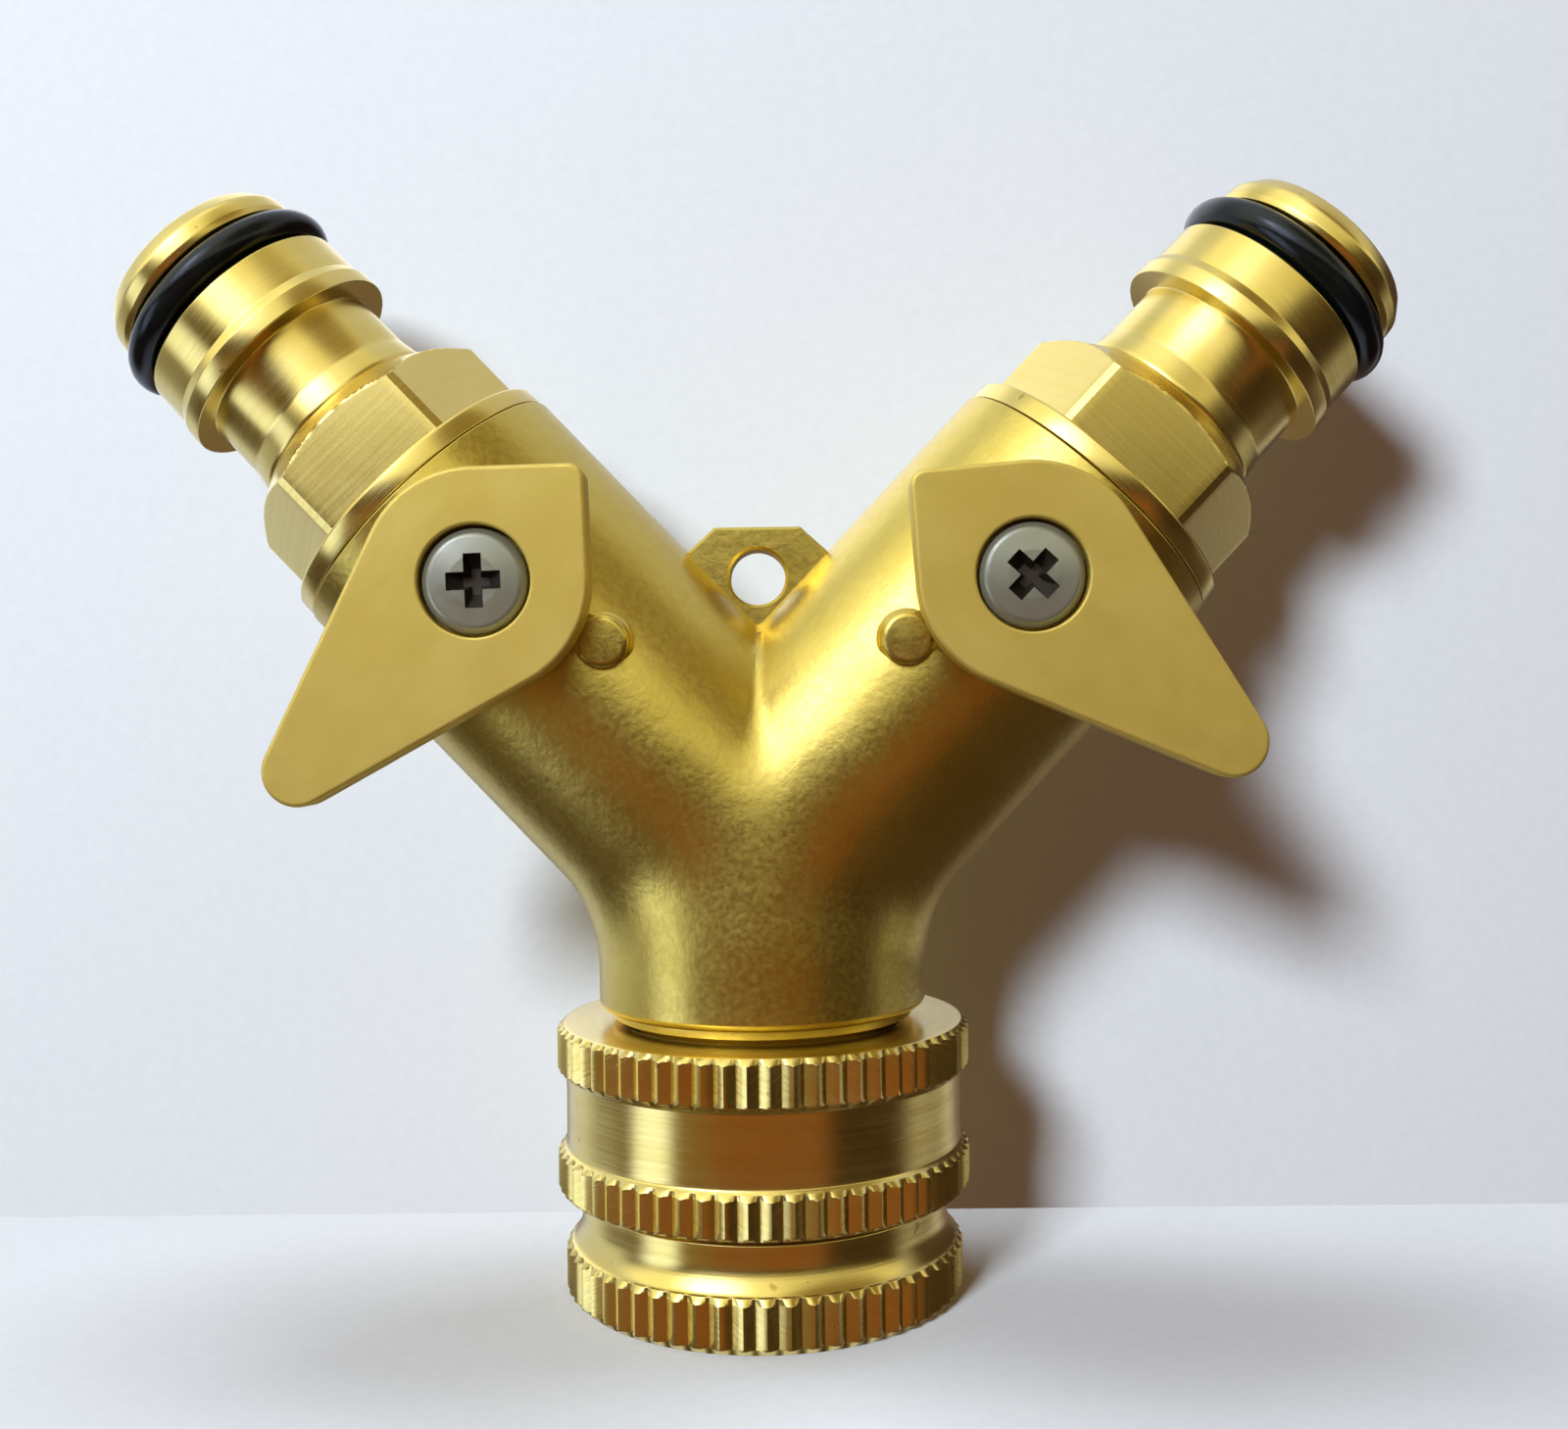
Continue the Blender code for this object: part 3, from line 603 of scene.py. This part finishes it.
def block(outline, y0, y1, edge=0.0):
    """Closed slab of an (x, z) outline between two y, its rims bevelled."""
    p = np.array(outline, float)
    c = p.mean(0)
    n = len(p)
    rows = [(y0, edge), (y0 + edge, 0.0), (y1 - edge, 0.0), (y1, edge)] if edge else [(y0, 0.0), (y1, 0.0)]
    verts = []
    for yy, e in rows:
        q = p.copy()
        if e:
            for i in range(n):
                a, b = p[i - 1] - p[i], p[(i + 1) % n] - p[i]
                a, b = a / np.hypot(*a), b / np.hypot(*b)
                bis = a + b
                bis /= np.hypot(*bis)
                q[i] = p[i] + bis * e / max(0.3, abs(a[0] * bis[1] - a[1] * bis[0]))
        verts += [(u, yy, w) for u, w in q]
    faces = [list(range(n)), [(len(rows) - 1) * n + i for i in reversed(range(n))]]
    for k in range(len(rows) - 1):
        faces += [[k * n + i, (k + 1) * n + i, (k + 1) * n + (i + 1) % n, k * n + (i + 1) % n] for i in range(n)]
    return np.array(verts), faces


# hanging lug
lug = solid("lug", *block([(0, 43.2), (5.15, 49.6), (5.15, 54.2), (3.17, 56.0), (-3.17, 56.0), (-5.15, 54.2),
                           (-5.15, 49.6)], -1.7, 1.7, 0.22))
carve(body, lug, 'UNION')
# stop posts, with the rib behind each under the handle
for side, k in SIDES:
    loc = Vector((-k * 0, 0, 0))
    M = ARM_M[side] @ place((-k * 3.05, 0, VALVE_S - 8.30))
    pv0, pf0 = lathe(soften([(0, 7.5), (2.25, 7.5), (2.1, 10.9, 0.3), (1.85, 11.2, 0.3), (1.85, 12.15, 1.15), (0, 12.15)],
                            False, 8), 72)
    carve(body, solid("post", spin(pv0, OUT), pf0, M), 'UNION')
    aim = math.atan2(8.54, k * 3.19)
    rib = solid("rib", *box_xyz((0.4, -12.0, -1.35), (2.25, -9.0, 1.35)), M @ Matrix.Rotation(-aim, 4, 'Y'))
    carve(body, rib, 'UNION')
# underside of the neck, tail and ring groove
ring = soften([(11.1, 20.7, 0.1), (11.1, 20.08, 0.1), (9.8, 19.95, 0.1), (9.8, 17.12, 0.08), (8.95, 17.12, 0.05), (8.95, 15.78, 0.05), (9.8, 15.78, 0.08),
               (9.8, 15.65, 0.05), (9.35, 15.35, 0.05), (9.35, 14.0), (16.0, 14.0), (16.0, 21.45), (12.13, 21.45)], False, 4)
ring += [(11.38 + 0.74 * math.cos(a), 21.44 - 0.74 * math.sin(a)) for a in np.linspace(0.05, math.pi / 2, 9)]
carve(body, solid("under", *lathe(ring, 160)), 'DIFFERENCE')
low = [(0, 13.0), (8.0, 13.0), (8.0, 15.0), (7.5, 15.5), (7.5, 27.0), (4.6, 31.5), (0, 31.5)]
carve(body, solid("bore", *lathe(low, 128)), 'DIFFERENCE')
cap = [(0, -2.0), (4.8, -2.0), (4.8, 18.2), (8.2, 18.2), (8.2, 32.3), (9.6, 32.3), (9.6, 35.0), (9.75, 35.2),
       (11.50, 35.2), (11.58, 35.17), (11.64, 35.08), (15.0, 35.08), (15.0, 40.0), (0, 40.0)]
stem_cut = [(0, 4.0), (4.6, 4.0), (4.6, 8.65), (3.45, 8.65), (3.45, 14.0), (0, 14.0)]
for side, k in SIDES:
    carve(body, solid("arm_bore", *lathe(cap, 192), ARM_M[side]), 'DIFFERENCE')
    sv0, sf0 = lathe(stem_cut, 96)
    carve(body, solid("stem_bore", spin(sv0, OUT), sf0, VALVE_M[side]), 'DIFFERENCE')
hv, hf = lathe([(0, -4), (2.4, -4), (2.4, -1.82), (2.06, -1.52), (2.06, 1.52), (2.4, 1.82), (2.4, 4), (0, 4)], 96)
carve(body, solid("lug_hole", spin(hv, OUT), hf, place((0, 0, 52.3))), 'DIFFERENCE')
body.data.polygons.foreach_set("use_smooth", [True] * len(body.data.polygons))
body.data.set_sharp_from_angle(angle=math.radians(28))
print("body", len(body.data.vertices), len(body.data.polygons))
piece(body, "splitter", ["y_body"])


# ---------------------------------------------------------------- outlets
def nipple():
    seg = 216
    spigot = [(5.4, 32.5), (8.9, 32.5), (9.2, 32.85), (9.2, 33.15), (8.1, 33.15), (8.1, 34.75), (9.2, 34.75), (9.2, 35.3)]
    flange = soften([(9.2, 35.3, 0), (11.5, 35.3, 0.08), (11.5, 36.7, 0.25), (10.8, 36.9, 0.0)], False, 4)[1:]
    hexz = [37.0, 37.05, 37.4] + list(np.linspace(37.9, 42.0, 6)) + list(np.linspace(42.15, 44.1, 18))
    hexp = [(10.6, z) for z in hexz]
    neck = soften([(7.6, 44.35, 0.8), (7.28, 46.0, 2.0), (7.2, 50.33, 0.12), (8.8, 50.35, 0.1), (8.8, 51.6, 0.2),
                   (8.5, 52.3, 0.3), (8.42, 55.35, 0.15), (8.3, 55.5, 0.05), (6.5, 55.5, 0.2), (6.5, 58.55, 0.2),
                   (7.8, 58.55, 0.12), (7.95, 59.0, 0.4), (7.9, 60.0, 0.8), (7.1, 61.2, 0.6), (5.9, 61.2, 0.3),
                   (5.2, 60.5, 0.2), (5.2, 33.2, 0.1)], True, 5)
    prof = spigot + flange + hexp + neck
    h0 = len(spigot) + len(flange)
    h1 = h0 + len(hexp)

    def rf(k, r, z, th):
        if h0 <= k < h1:
            m = (th % (TAU / 6)) - TAU / 12
            hx = np.minimum(9.3 / np.cos(m), 10.55)
            lowc = 10.75
            top = 10.55 - (z - 42.05) * 1.42 if z > 42.05 else 99
            return np.minimum(np.minimum(hx, lowc), top)
        return np.full(seg, r)
    return lathe(prof, seg, rf)


nv, nf = nipple()
ring_v, ring_f = lathe([(7.72 + 1.24 * math.cos(a), 56.97 + 1.24 * math.sin(a)) for a in np.arange(28) * TAU / 28], 168)
gas_v, gas_f = lathe([(8.75 + 0.58 * math.cos(a), 33.95 + 0.58 * math.sin(a)) for a in np.arange(14) * TAU / 14], 96)
for side, k in SIDES:
    piece(make(side + "_outlet_nipple_look", nv, nf, NOZZLE, ARM_M[side], 24), "splitter",
          [side + "_outlet_nipple"])
    piece(make(side + "_outlet_o_ring_look", ring_v, ring_f, RUBBER, ARM_M[side]), "splitter",
          [side + "_outlet_o_ring"])
    piece(make(side + "_nipple_gasket_look", gas_v, gas_f, WASHER, ARM_M[side]), "splitter",
          [side + "_nipple_gasket"])
    for tag, sg, far in (("inner", -1, 8.0), ("outer", 1, 5.75)):
        p = [(4.9, VALVE_S + sg * far, 0.15), (4.9, VALVE_S + sg * 5.45, 0.2), (5.75, VALVE_S + sg * 4.4, 0.2),
             (7.9, VALVE_S + sg * 4.4, 0.2), (7.9, VALVE_S + sg * far, 0.2)]
        if sg > 0:
            p = p[::-1]
        sv, sf = lathe(soften(p, True, 3), 72)
        piece(make("%s_%s_seat_look" % (side, tag), sv, sf, PTFE, ARM_M[side]), "splitter",
              ["%s_%s_seat" % (side, tag)])


# ---------------------------------------------------------------- valves
def hull_radius(th, off):
    """Distance from the hub to the plate's outline at each angle, every disc smaller by off."""
    discs = [(0.0, 7.5 - off), (17.0, 2.35 - off), (-9.12, 1.0 - off)]
    d = np.stack([np.cos(th), np.sin(th)], -1)
    n_ang = np.linspace(0, TAU, 2881)[:-1]
    nrm = np.stack([np.cos(n_ang), np.sin(n_ang)], -1)
    support = np.max(np.stack([c * nrm[:, 0] + r for c, r in discs], 0), 0)
    dots = d @ nrm.T
    with np.errstate(divide='ignore', invalid='ignore'):
        q = np.where(dots > 1e-4, support[None, :] / dots, 1e9)
    return q.min(1)


PLATE_SEG = 288
# more rays towards the tip keep its curve smooth
_u = np.arange(PLATE_SEG) / PLATE_SEG * TAU
PLATE_TH = _u - 0.52 * np.sin(_u) - 0.06 * np.sin(2 * _u)


def plate():
    th = PLATE_TH
    y0, y1 = 12.5, 15.1
    sq = lambda a: a / np.maximum(np.abs(np.cos(th)), np.abs(np.sin(th)))
    rings = []

    def add(r, z):
        rings.append((np.broadcast_to(r, (PLATE_SEG,)), z))
    for j in range(6):                     # lower edge
        a = j / 5 * math.pi / 2
        add(hull_radius(th, 0.30 - 0.30 * math.sin(a)), y0 + 0.30 - 0.30 * math.cos(a))
    for j in range(8):                     # upper edge, rounder
        a = j / 7 * math.pi / 2
        add(hull_radius(th, 0.28 - 0.28 * math.cos(a)), y1 - 0.28 + 0.28 * math.sin(a))
    add(hull_radius(th, 0.36), y1)
    outer = rings[-1][0]
    add(outer * 0.8 + 3.92 * 0.2, y1)
    add(outer * 0.4 + 3.92 * 0.6, y1)
    add(3.92, y1)
    add(3.84, y1)
    add(3.76, y1 - 0.03)
    add(3.71, y1 - 0.10)
    add(3.70, y1 - 0.30)
    add(3.70, 13.85)
    add(3.55, 13.7)
    add(np.minimum(3.3, sq(2.35)), 13.7)
    add(sq(2.2), 13.6)
    add(sq(2.2), 12.6)
    add(sq(2.3), 12.5)
    verts, faces = [], []
    for r, z in rings:
        verts.append(np.stack([r * np.cos(th), r * np.sin(th), np.full(PLATE_SEG, z)], -1))
    m = len(rings)
    idx = np.arange(PLATE_SEG)
    nx = (idx + 1) % PLATE_SEG
    for k in range(m):
        a, b = k * PLATE_SEG, ((k + 1) % m) * PLATE_SEG
        faces += np.stack([a + idx, a + nx, b + nx, b + idx], -1).tolist()
    return np.concatenate(verts), faces


pv, pf = plate()
# plate was built round local z; turn it so that z faces -y and x stays the tip direction
for side, k in SIDES:
    M = VALVE_M[side]
    v = spin(pv, OUT)
    # y flips under this turn, which only mirrors a symmetric outline
    post_dir = math.atan2(-4.0, -k * 8.2)
    gap = math.radians(23.5)
    tabs = (post_dir - gap, post_dir + gap + math.radians(93.0)) if side == "left" else \
        (post_dir + gap + math.radians(6.0), post_dir - gap - math.radians(87.0))
    parts = [(v, pf)]
    for tt in tabs:
        bv, bf = box_xyz((5.9, -13.0, -1.0), (7.2, -11.86, 1.0))
        bv = spin(bv, Matrix.Rotation(-(tt - TIP[side]), 4, 'Y'))
        parts.append((bv, bf))
    v, f = join(parts)
    piece(make(side + "_handle_look", v, f, PLATE, M, 35), side + "_valve", [side + "_handle"])

    # screw: domed head with a cross recess, plain shank
    sp = soften([(0, 9.9), (1.2, 9.9, 0.1), (1.55, 10.25, 0.1), (1.55, 13.78, 0), (3.2, 13.78, 0.1), (3.5, 13.95, 0.12),
                 (3.5, 14.5, 0.35), (3.05, 14.98, 0.6), (1.6, 15.14, 0.5), (0, 15.17)], False, 5)
    sv, sf = lathe(sp, 128)
    sc = make(side + "_handle_screw_look", spin(sv, OUT), sf, ZINC, M, 30)
    turn = math.radians(2 if side == "left" else 47) - TIP[side]
    prism_parts = []
    for q in (0, 1):
        a = turn + q * math.pi / 2
        bv = np.array([(x * s0, yy, z * s1) for yy, s0, s1 in ((-13.98, 0.42, 0.48), (-14.95, 0.84, 0.92), (-16.2, 1.08, 1.14))
                       for x, z in ((-2.05, -0.62), (2.05, -0.62), (2.05, 0.62), (-2.05, 0.62))])
        bf = [[0, 1, 2, 3], [11, 10, 9, 8]] + [[4 * r + i, 4 * r + 4 + i, 4 * r + 4 + (i + 1) % 4, 4 * r + (i + 1) % 4]
                                              for r in (0, 1) for i in range(4)]
        prism_parts.append((spin(bv, Matrix.Rotation(-a, 4, 'Y')), bf))
    for n, (bv, bf) in enumerate(prism_parts):
        carve(sc, solid("cross_tool_%s_%d" % (side, n), bv, bf, M, RECESS), 'DIFFERENCE', 'EXACT')
    sc.data.polygons.foreach_set("use_smooth", [True] * len(sc.data.polygons))
    sc.data.set_sharp_from_angle(angle=math.radians(30))
    piece(sc, side + "_valve", [side + "_handle_screw"])

    # stem
    st = soften([(0, 7.3), (4.2, 7.3, 0.12), (4.2, 7.9, 0.12), (3.0, 7.9, 0.1), (3.0, 8.8, 0.08), (2.3, 8.8, 0.08),
                 (2.3, 9.85, 0.08), (3.0, 9.85, 0.05), (3.0, 10.1, 0.05), (2.3, 10.1, 0.08), (2.3, 11.15, 0.08),
                 (3.0, 11.15, 0.08), (3.0, 12.3, 0.25), (2.2, 12.35, 0), (0, 12.35)], False, 3)
    sv, sf = lathe(st, 72)
    b1 = box_xyz((-2.0, -13.5, -2.0), (2.0, -12.0, 2.0))
    b2 = box_xyz((-0.95, -7.5, -2.6), (0.95, -5.65, 2.6))
    v, f = join([(spin(sv, OUT), sf), b1, b2])
    piece(make(side + "_stem_look", v, f, TURNED, M, 30), side + "_valve", [side + "_stem"])
    wv, wf = lathe(soften([(3.15, 7.98, 0.08), (4.3, 7.98, 0.08), (4.3, 8.55, 0.08), (3.15, 8.55, 0.08)][::-1], True, 3), 64)
    piece(make(side + "_stem_thrust_washer_look", spin(wv, OUT), wf, PTFE, M), side + "_valve",
          [side + "_stem_thrust_washer"])
    for tag, pos in (("lower", 9.33), ("upper", 10.62)):
        ov, of_ = lathe([(2.86 + 0.48 * math.cos(a), pos + 0.48 * math.sin(a)) for a in np.arange(14) * TAU / 14], 60)
        piece(make("%s_stem_o_ring_%s_look" % (side, tag), spin(ov, OUT), of_, RUBBER, M), side + "_valve",
              ["%s_stem_o_ring_%s" % (side, tag)])
    # ball: sphere with its bore and slot
    rim = math.acos(4.55 / 7.0)
    arc = [(7.0 * math.cos(a), 7.0 * math.sin(a)) for a in np.linspace(-rim, rim, 61)]
    end = 7.0 * math.sin(rim) - 0.15
    bp = arc + [(4.4, end), (4.4, -end)]
    bv, bf = lathe(bp, 120)
    ball = solid(side + "_ball_look", spin(bv, Matrix.Rotation(math.pi / 2, 4, 'Y')), bf, M, CHROME)
    sv, sf = box_xyz((-1.15, -8.0, -9.0), (1.15, -5.45, 9.0))
    carve(ball, solid("slot_tool_" + side, sv, sf, M, CHROME), 'DIFFERENCE', 'EXACT')
    ball.data.polygons.foreach_set("use_smooth", [True] * len(ball.data.polygons))
    ball.data.set_sharp_from_angle(angle=math.radians(30))
    piece(ball, side + "_valve", [side + "_ball"])


# ---------------------------------------------------------------- stage
def stage_floor():
    """A pale floor, and a pale board standing just behind that is clear from its back."""
    n = 96
    disc = [(0.0, 0.0, 0.0)] + [(1200 * math.cos(i * TAU / n), 1200 * math.sin(i * TAU / n), 0.0) for i in range(n)]
    fan = [[0, i + 1, (i + 1) % n + 1] for i in range(n)]
    wall = [(-1200, 15.45, 0), (1200, 15.45, 0), (1200, 15.45, 1200), (-1200, 15.45, 1200)]
    for name, verts, faces, back in (("floor", disc, fan, False), ("backdrop", wall, [[0, 1, 2, 3]], True)):
        t = Nodes("pale_" + name)
        co = obj_coords(t)
        r = t.add('ShaderNodeVectorMath', {'operation': 'LENGTH'}, i0=co).outputs['Value']
        grain = t.noise(co, 900.0, 3.0)
        col = t.mix(t.ramp(grain, 0.3, 0.7), (0.66, 0.69, 0.72, 1), (0.68, 0.71, 0.74, 1))
        dif = t.add('ShaderNodeBsdfDiffuse', None, Color=col)
        em = t.add('ShaderNodeEmission', None, Color=BACK, Strength=1.0)
        mix = t.add('ShaderNodeMixShader', None, i0=t.ramp(r, 0.13, 0.40), i1=dif.outputs[0], i2=em.outputs[0])
        last = mix
        if back:
            geo = t.add('ShaderNodeNewGeometry')
            clear = t.add('ShaderNodeBsdfTransparent')
            last = t.add('ShaderNodeMixShader', None, i0=geo.outputs['Backfacing'], i1=mix.outputs[0], i2=clear.outputs[0])
        o = t.add('ShaderNodeOutputMaterial')
        t.tree.links.new(last.outputs[0], o.inputs[0])
        ob = make(name, verts, faces, t.mat)
        if not back:
            ob.location = (0, 0, -0.00003)
        ob.visible_glossy = False
        ob.visible_diffuse = False
        if back:
            ob.visible_shadow = False
            ob.visible_transmission = False


BACK = (0.84, 0.88, 0.915, 1)
stage_floor()


def sky():
    """Plain pale behind everything for the eye; a soft room all round for the metal to mirror."""
    w = bpy.data.worlds.new("studio")
    bpy.context.scene.world = w
    t = Nodes("studio", w)
    d = t.add('ShaderNodeTexCoord').outputs['Generated']
    xyz = t.add('ShaderNodeSeparateXYZ', None, Vector=d)
    x, y, z = xyz.outputs

    def dot(v):
        v = Vector(v).normalized()
        return t.add('ShaderNodeVectorMath', {'operation': 'DOT_PRODUCT'}, i0=d, i1=tuple(v)).outputs['Value']

    def blob(v, inner, outer):
        """1 inside the angle inner, 0 outside outer, in degrees."""
        return t.ramp(dot(v), math.cos(math.radians(outer)), math.cos(math.radians(inner)))
    # the room in front: brown low down and to the right, lighter above and to the left
    low = t.mix(t.ramp(x, -0.80, -0.25), LOW_L, LOW_M)
    low = t.mix(t.ramp(x, 0.49, 0.68), low, LOW_R)
    low = t.mix(t.ramp(z, -0.34, -0.58), low, UNDER)
    mid = t.mix(t.ramp(x, -0.20, 0.42), MID_L, MID_R)
    high = t.mix(t.ramp(x, -0.20, 0.36), HIGH_L, HIGH_R)
    room = t.mix(t.ramp(z, -0.20, -0.06), low, mid)
    room = t.mix(t.ramp(z, 0.13, 0.25), room, high)
    # the pale side behind, in shade towards the lower right and straight behind
    pale = t.mix(t.ramp(z, -0.2, 0.9), PALE, PALE_UP)
    pale = t.mix(t.ramp(x, -0.10, 0.60), pale, PALE_R)
    pale = t.mix(blob((0.10, 0.93, -0.35), 16, 40), pale, BACKDARK)
    pale = t.mix(blob((0.66, 0.35, -0.66), 18, 31), pale, SHADE)
    c = t.mix(t.ramp(y, -0.16, 0.16), room, pale)
    c = t.mix(blob((0.74, -0.05, -0.66), 14, 32), c, SHADE)
    side = t.math('MULTIPLY', blob((0.78, 0.60, 0.00), 22, 44), t.ramp(z, -0.215, -0.165))
    c = t.mix(t.math('MULTIPLY', side, 1.0), c, SHADE)
    # dim corners, up to the right and down to the left
    c = t.mix(blob((0.56, -0.42, 0.72), 14, 32), c, DIM)
    c = t.mix(blob((-0.76, 0.12, -0.64), 15, 34), c, UNDER)
    # soft window, up and to the left, brightest in the middle
    c = t.mix(blob((-0.46, -0.70, 0.54), 9, 23), c, WINDOW)
    c = t.mix(blob((-0.49, -0.62, 0.61), 3, 8), c, LAMP)
    # its lower continuation, far to the left
    c = t.mix(blob((-0.89, -0.42, -0.15), 7, 17), c, WINDOW2)
    c = t.mix(blob((-0.86, -0.38, -0.34), 6, 14), c, WINDOW2)
    # a soft glow behind, so that the back has shape too
    c = t.mix(blob((-0.42, 0.76, 0.50), 12, 34), c, BACKGLOW)
    seen = t.add('ShaderNodeBackground', None, Color=BACK, Strength=1.0)
    mirror = t.add('ShaderNodeBackground', None, Color=c, Strength=1.0)
    fill = t.add('ShaderNodeBackground', None, Color=FILL, Strength=1.0)
    lp = t.add('ShaderNodeLightPath')
    m1 = t.add('ShaderNodeMixShader', None, i0=lp.outputs['Is Glossy Ray'], i1=fill.outputs[0], i2=mirror.outputs[0])
    m2 = t.add('ShaderNodeMixShader', None, i0=lp.outputs['Is Camera Ray'], i1=m1.outputs[0], i2=seen.outputs[0])
    o = t.add('ShaderNodeOutputWorld')
    t.tree.links.new(m2.outputs[0], o.inputs[0])


LOW_L = (0.25, 0.19, 0.10, 1)
LOW_M = (0.275, 0.107, 0.045, 1)
LOW_R = (0.040, 0.025, 0.016, 1)
UNDER = (0.085, 0.060, 0.034, 1)
MID_L = (0.055, 0.040, 0.018, 1)
MID_R = (0.055, 0.038, 0.026, 1)
HIGH_L = (1.30, 1.30, 1.15, 1)
HIGH_R = (0.92, 0.88, 0.62, 1)
PALE = (0.66, 0.72, 0.88, 1)
PALE_R = (0.60, 0.60, 0.66, 1)
PALE_UP = (0.74, 0.79, 0.88, 1)
DIM = (0.27, 0.205, 0.10, 1)
SHADE = (0.070, 0.045, 0.034, 1)
WINDOW = (3.0, 3.3, 4.8, 1)
LAMP = (8.0, 8.5, 9.5, 1)
WINDOW2 = (1.35, 1.55, 2.2, 1)
BACKGLOW = (1.35, 1.4, 1.55, 1)
BACKDARK = (0.18, 0.135, 0.10, 1)
FILL = (0.165, 0.085, 0.050, 1)
sky()
bpy.context.scene.view_settings.view_transform = 'Standard'


def area(name, loc, size, power, colour=(1, 1, 1), target=(0, 0, 0.042)):
    """A soft light for the floor and its shadow; the metal mirrors the room instead."""
    ld = bpy.data.lights.new(name, 'AREA')
    ld.shape = 'RECTANGLE'
    ld.size, ld.size_y = size
    ld.energy = power
    ld.color = colour
    ob = bpy.data.objects.new(name, ld)
    bpy.context.scene.collection.objects.link(ob)
    ob.location = loc
    ob.rotation_euler = (Vector(target) - Vector(loc)).to_track_quat('-Z', 'Y').to_euler()
    ob.visible_glossy = False
    return ob


area("window", (-0.28, -0.55, 0.33), (0.15, 0.15), 5.9, (0.92, 1.0, 1.08))
area("overhead", (-0.06, 0.09, 0.64), (0.22, 0.22), 2.2, (0.92, 1.0, 1.08), (0, 0, 0))

# ---------------------------------------------------------------- camera
cd = bpy.data.cameras.new("main")
cam = bpy.data.objects.new("main", cd)
bpy.context.scene.collection.objects.link(cam)
R = Vector((0.99992065, 0.00622258, -0.0109536))
U = Vector((0.01093714, 0.00267264, 0.99993662))
B = Vector((0.00625146, -0.99997707, 0.00260437))
C = Vector((2.5508, -115.45, 42.4352)) * MM
cam.matrix_world = Matrix(((R.x, U.x, B.x, C.x), (R.y, U.y, B.y, C.y), (R.z, U.z, B.z, C.z), (0, 0, 0, 1)))
cd.sensor_width = 36.0
cd.lens = 1574.0 / 1600.0 * 36.0
cd.clip_start = 0.005
cd.clip_end = 20.0
bpy.context.scene.camera = cam
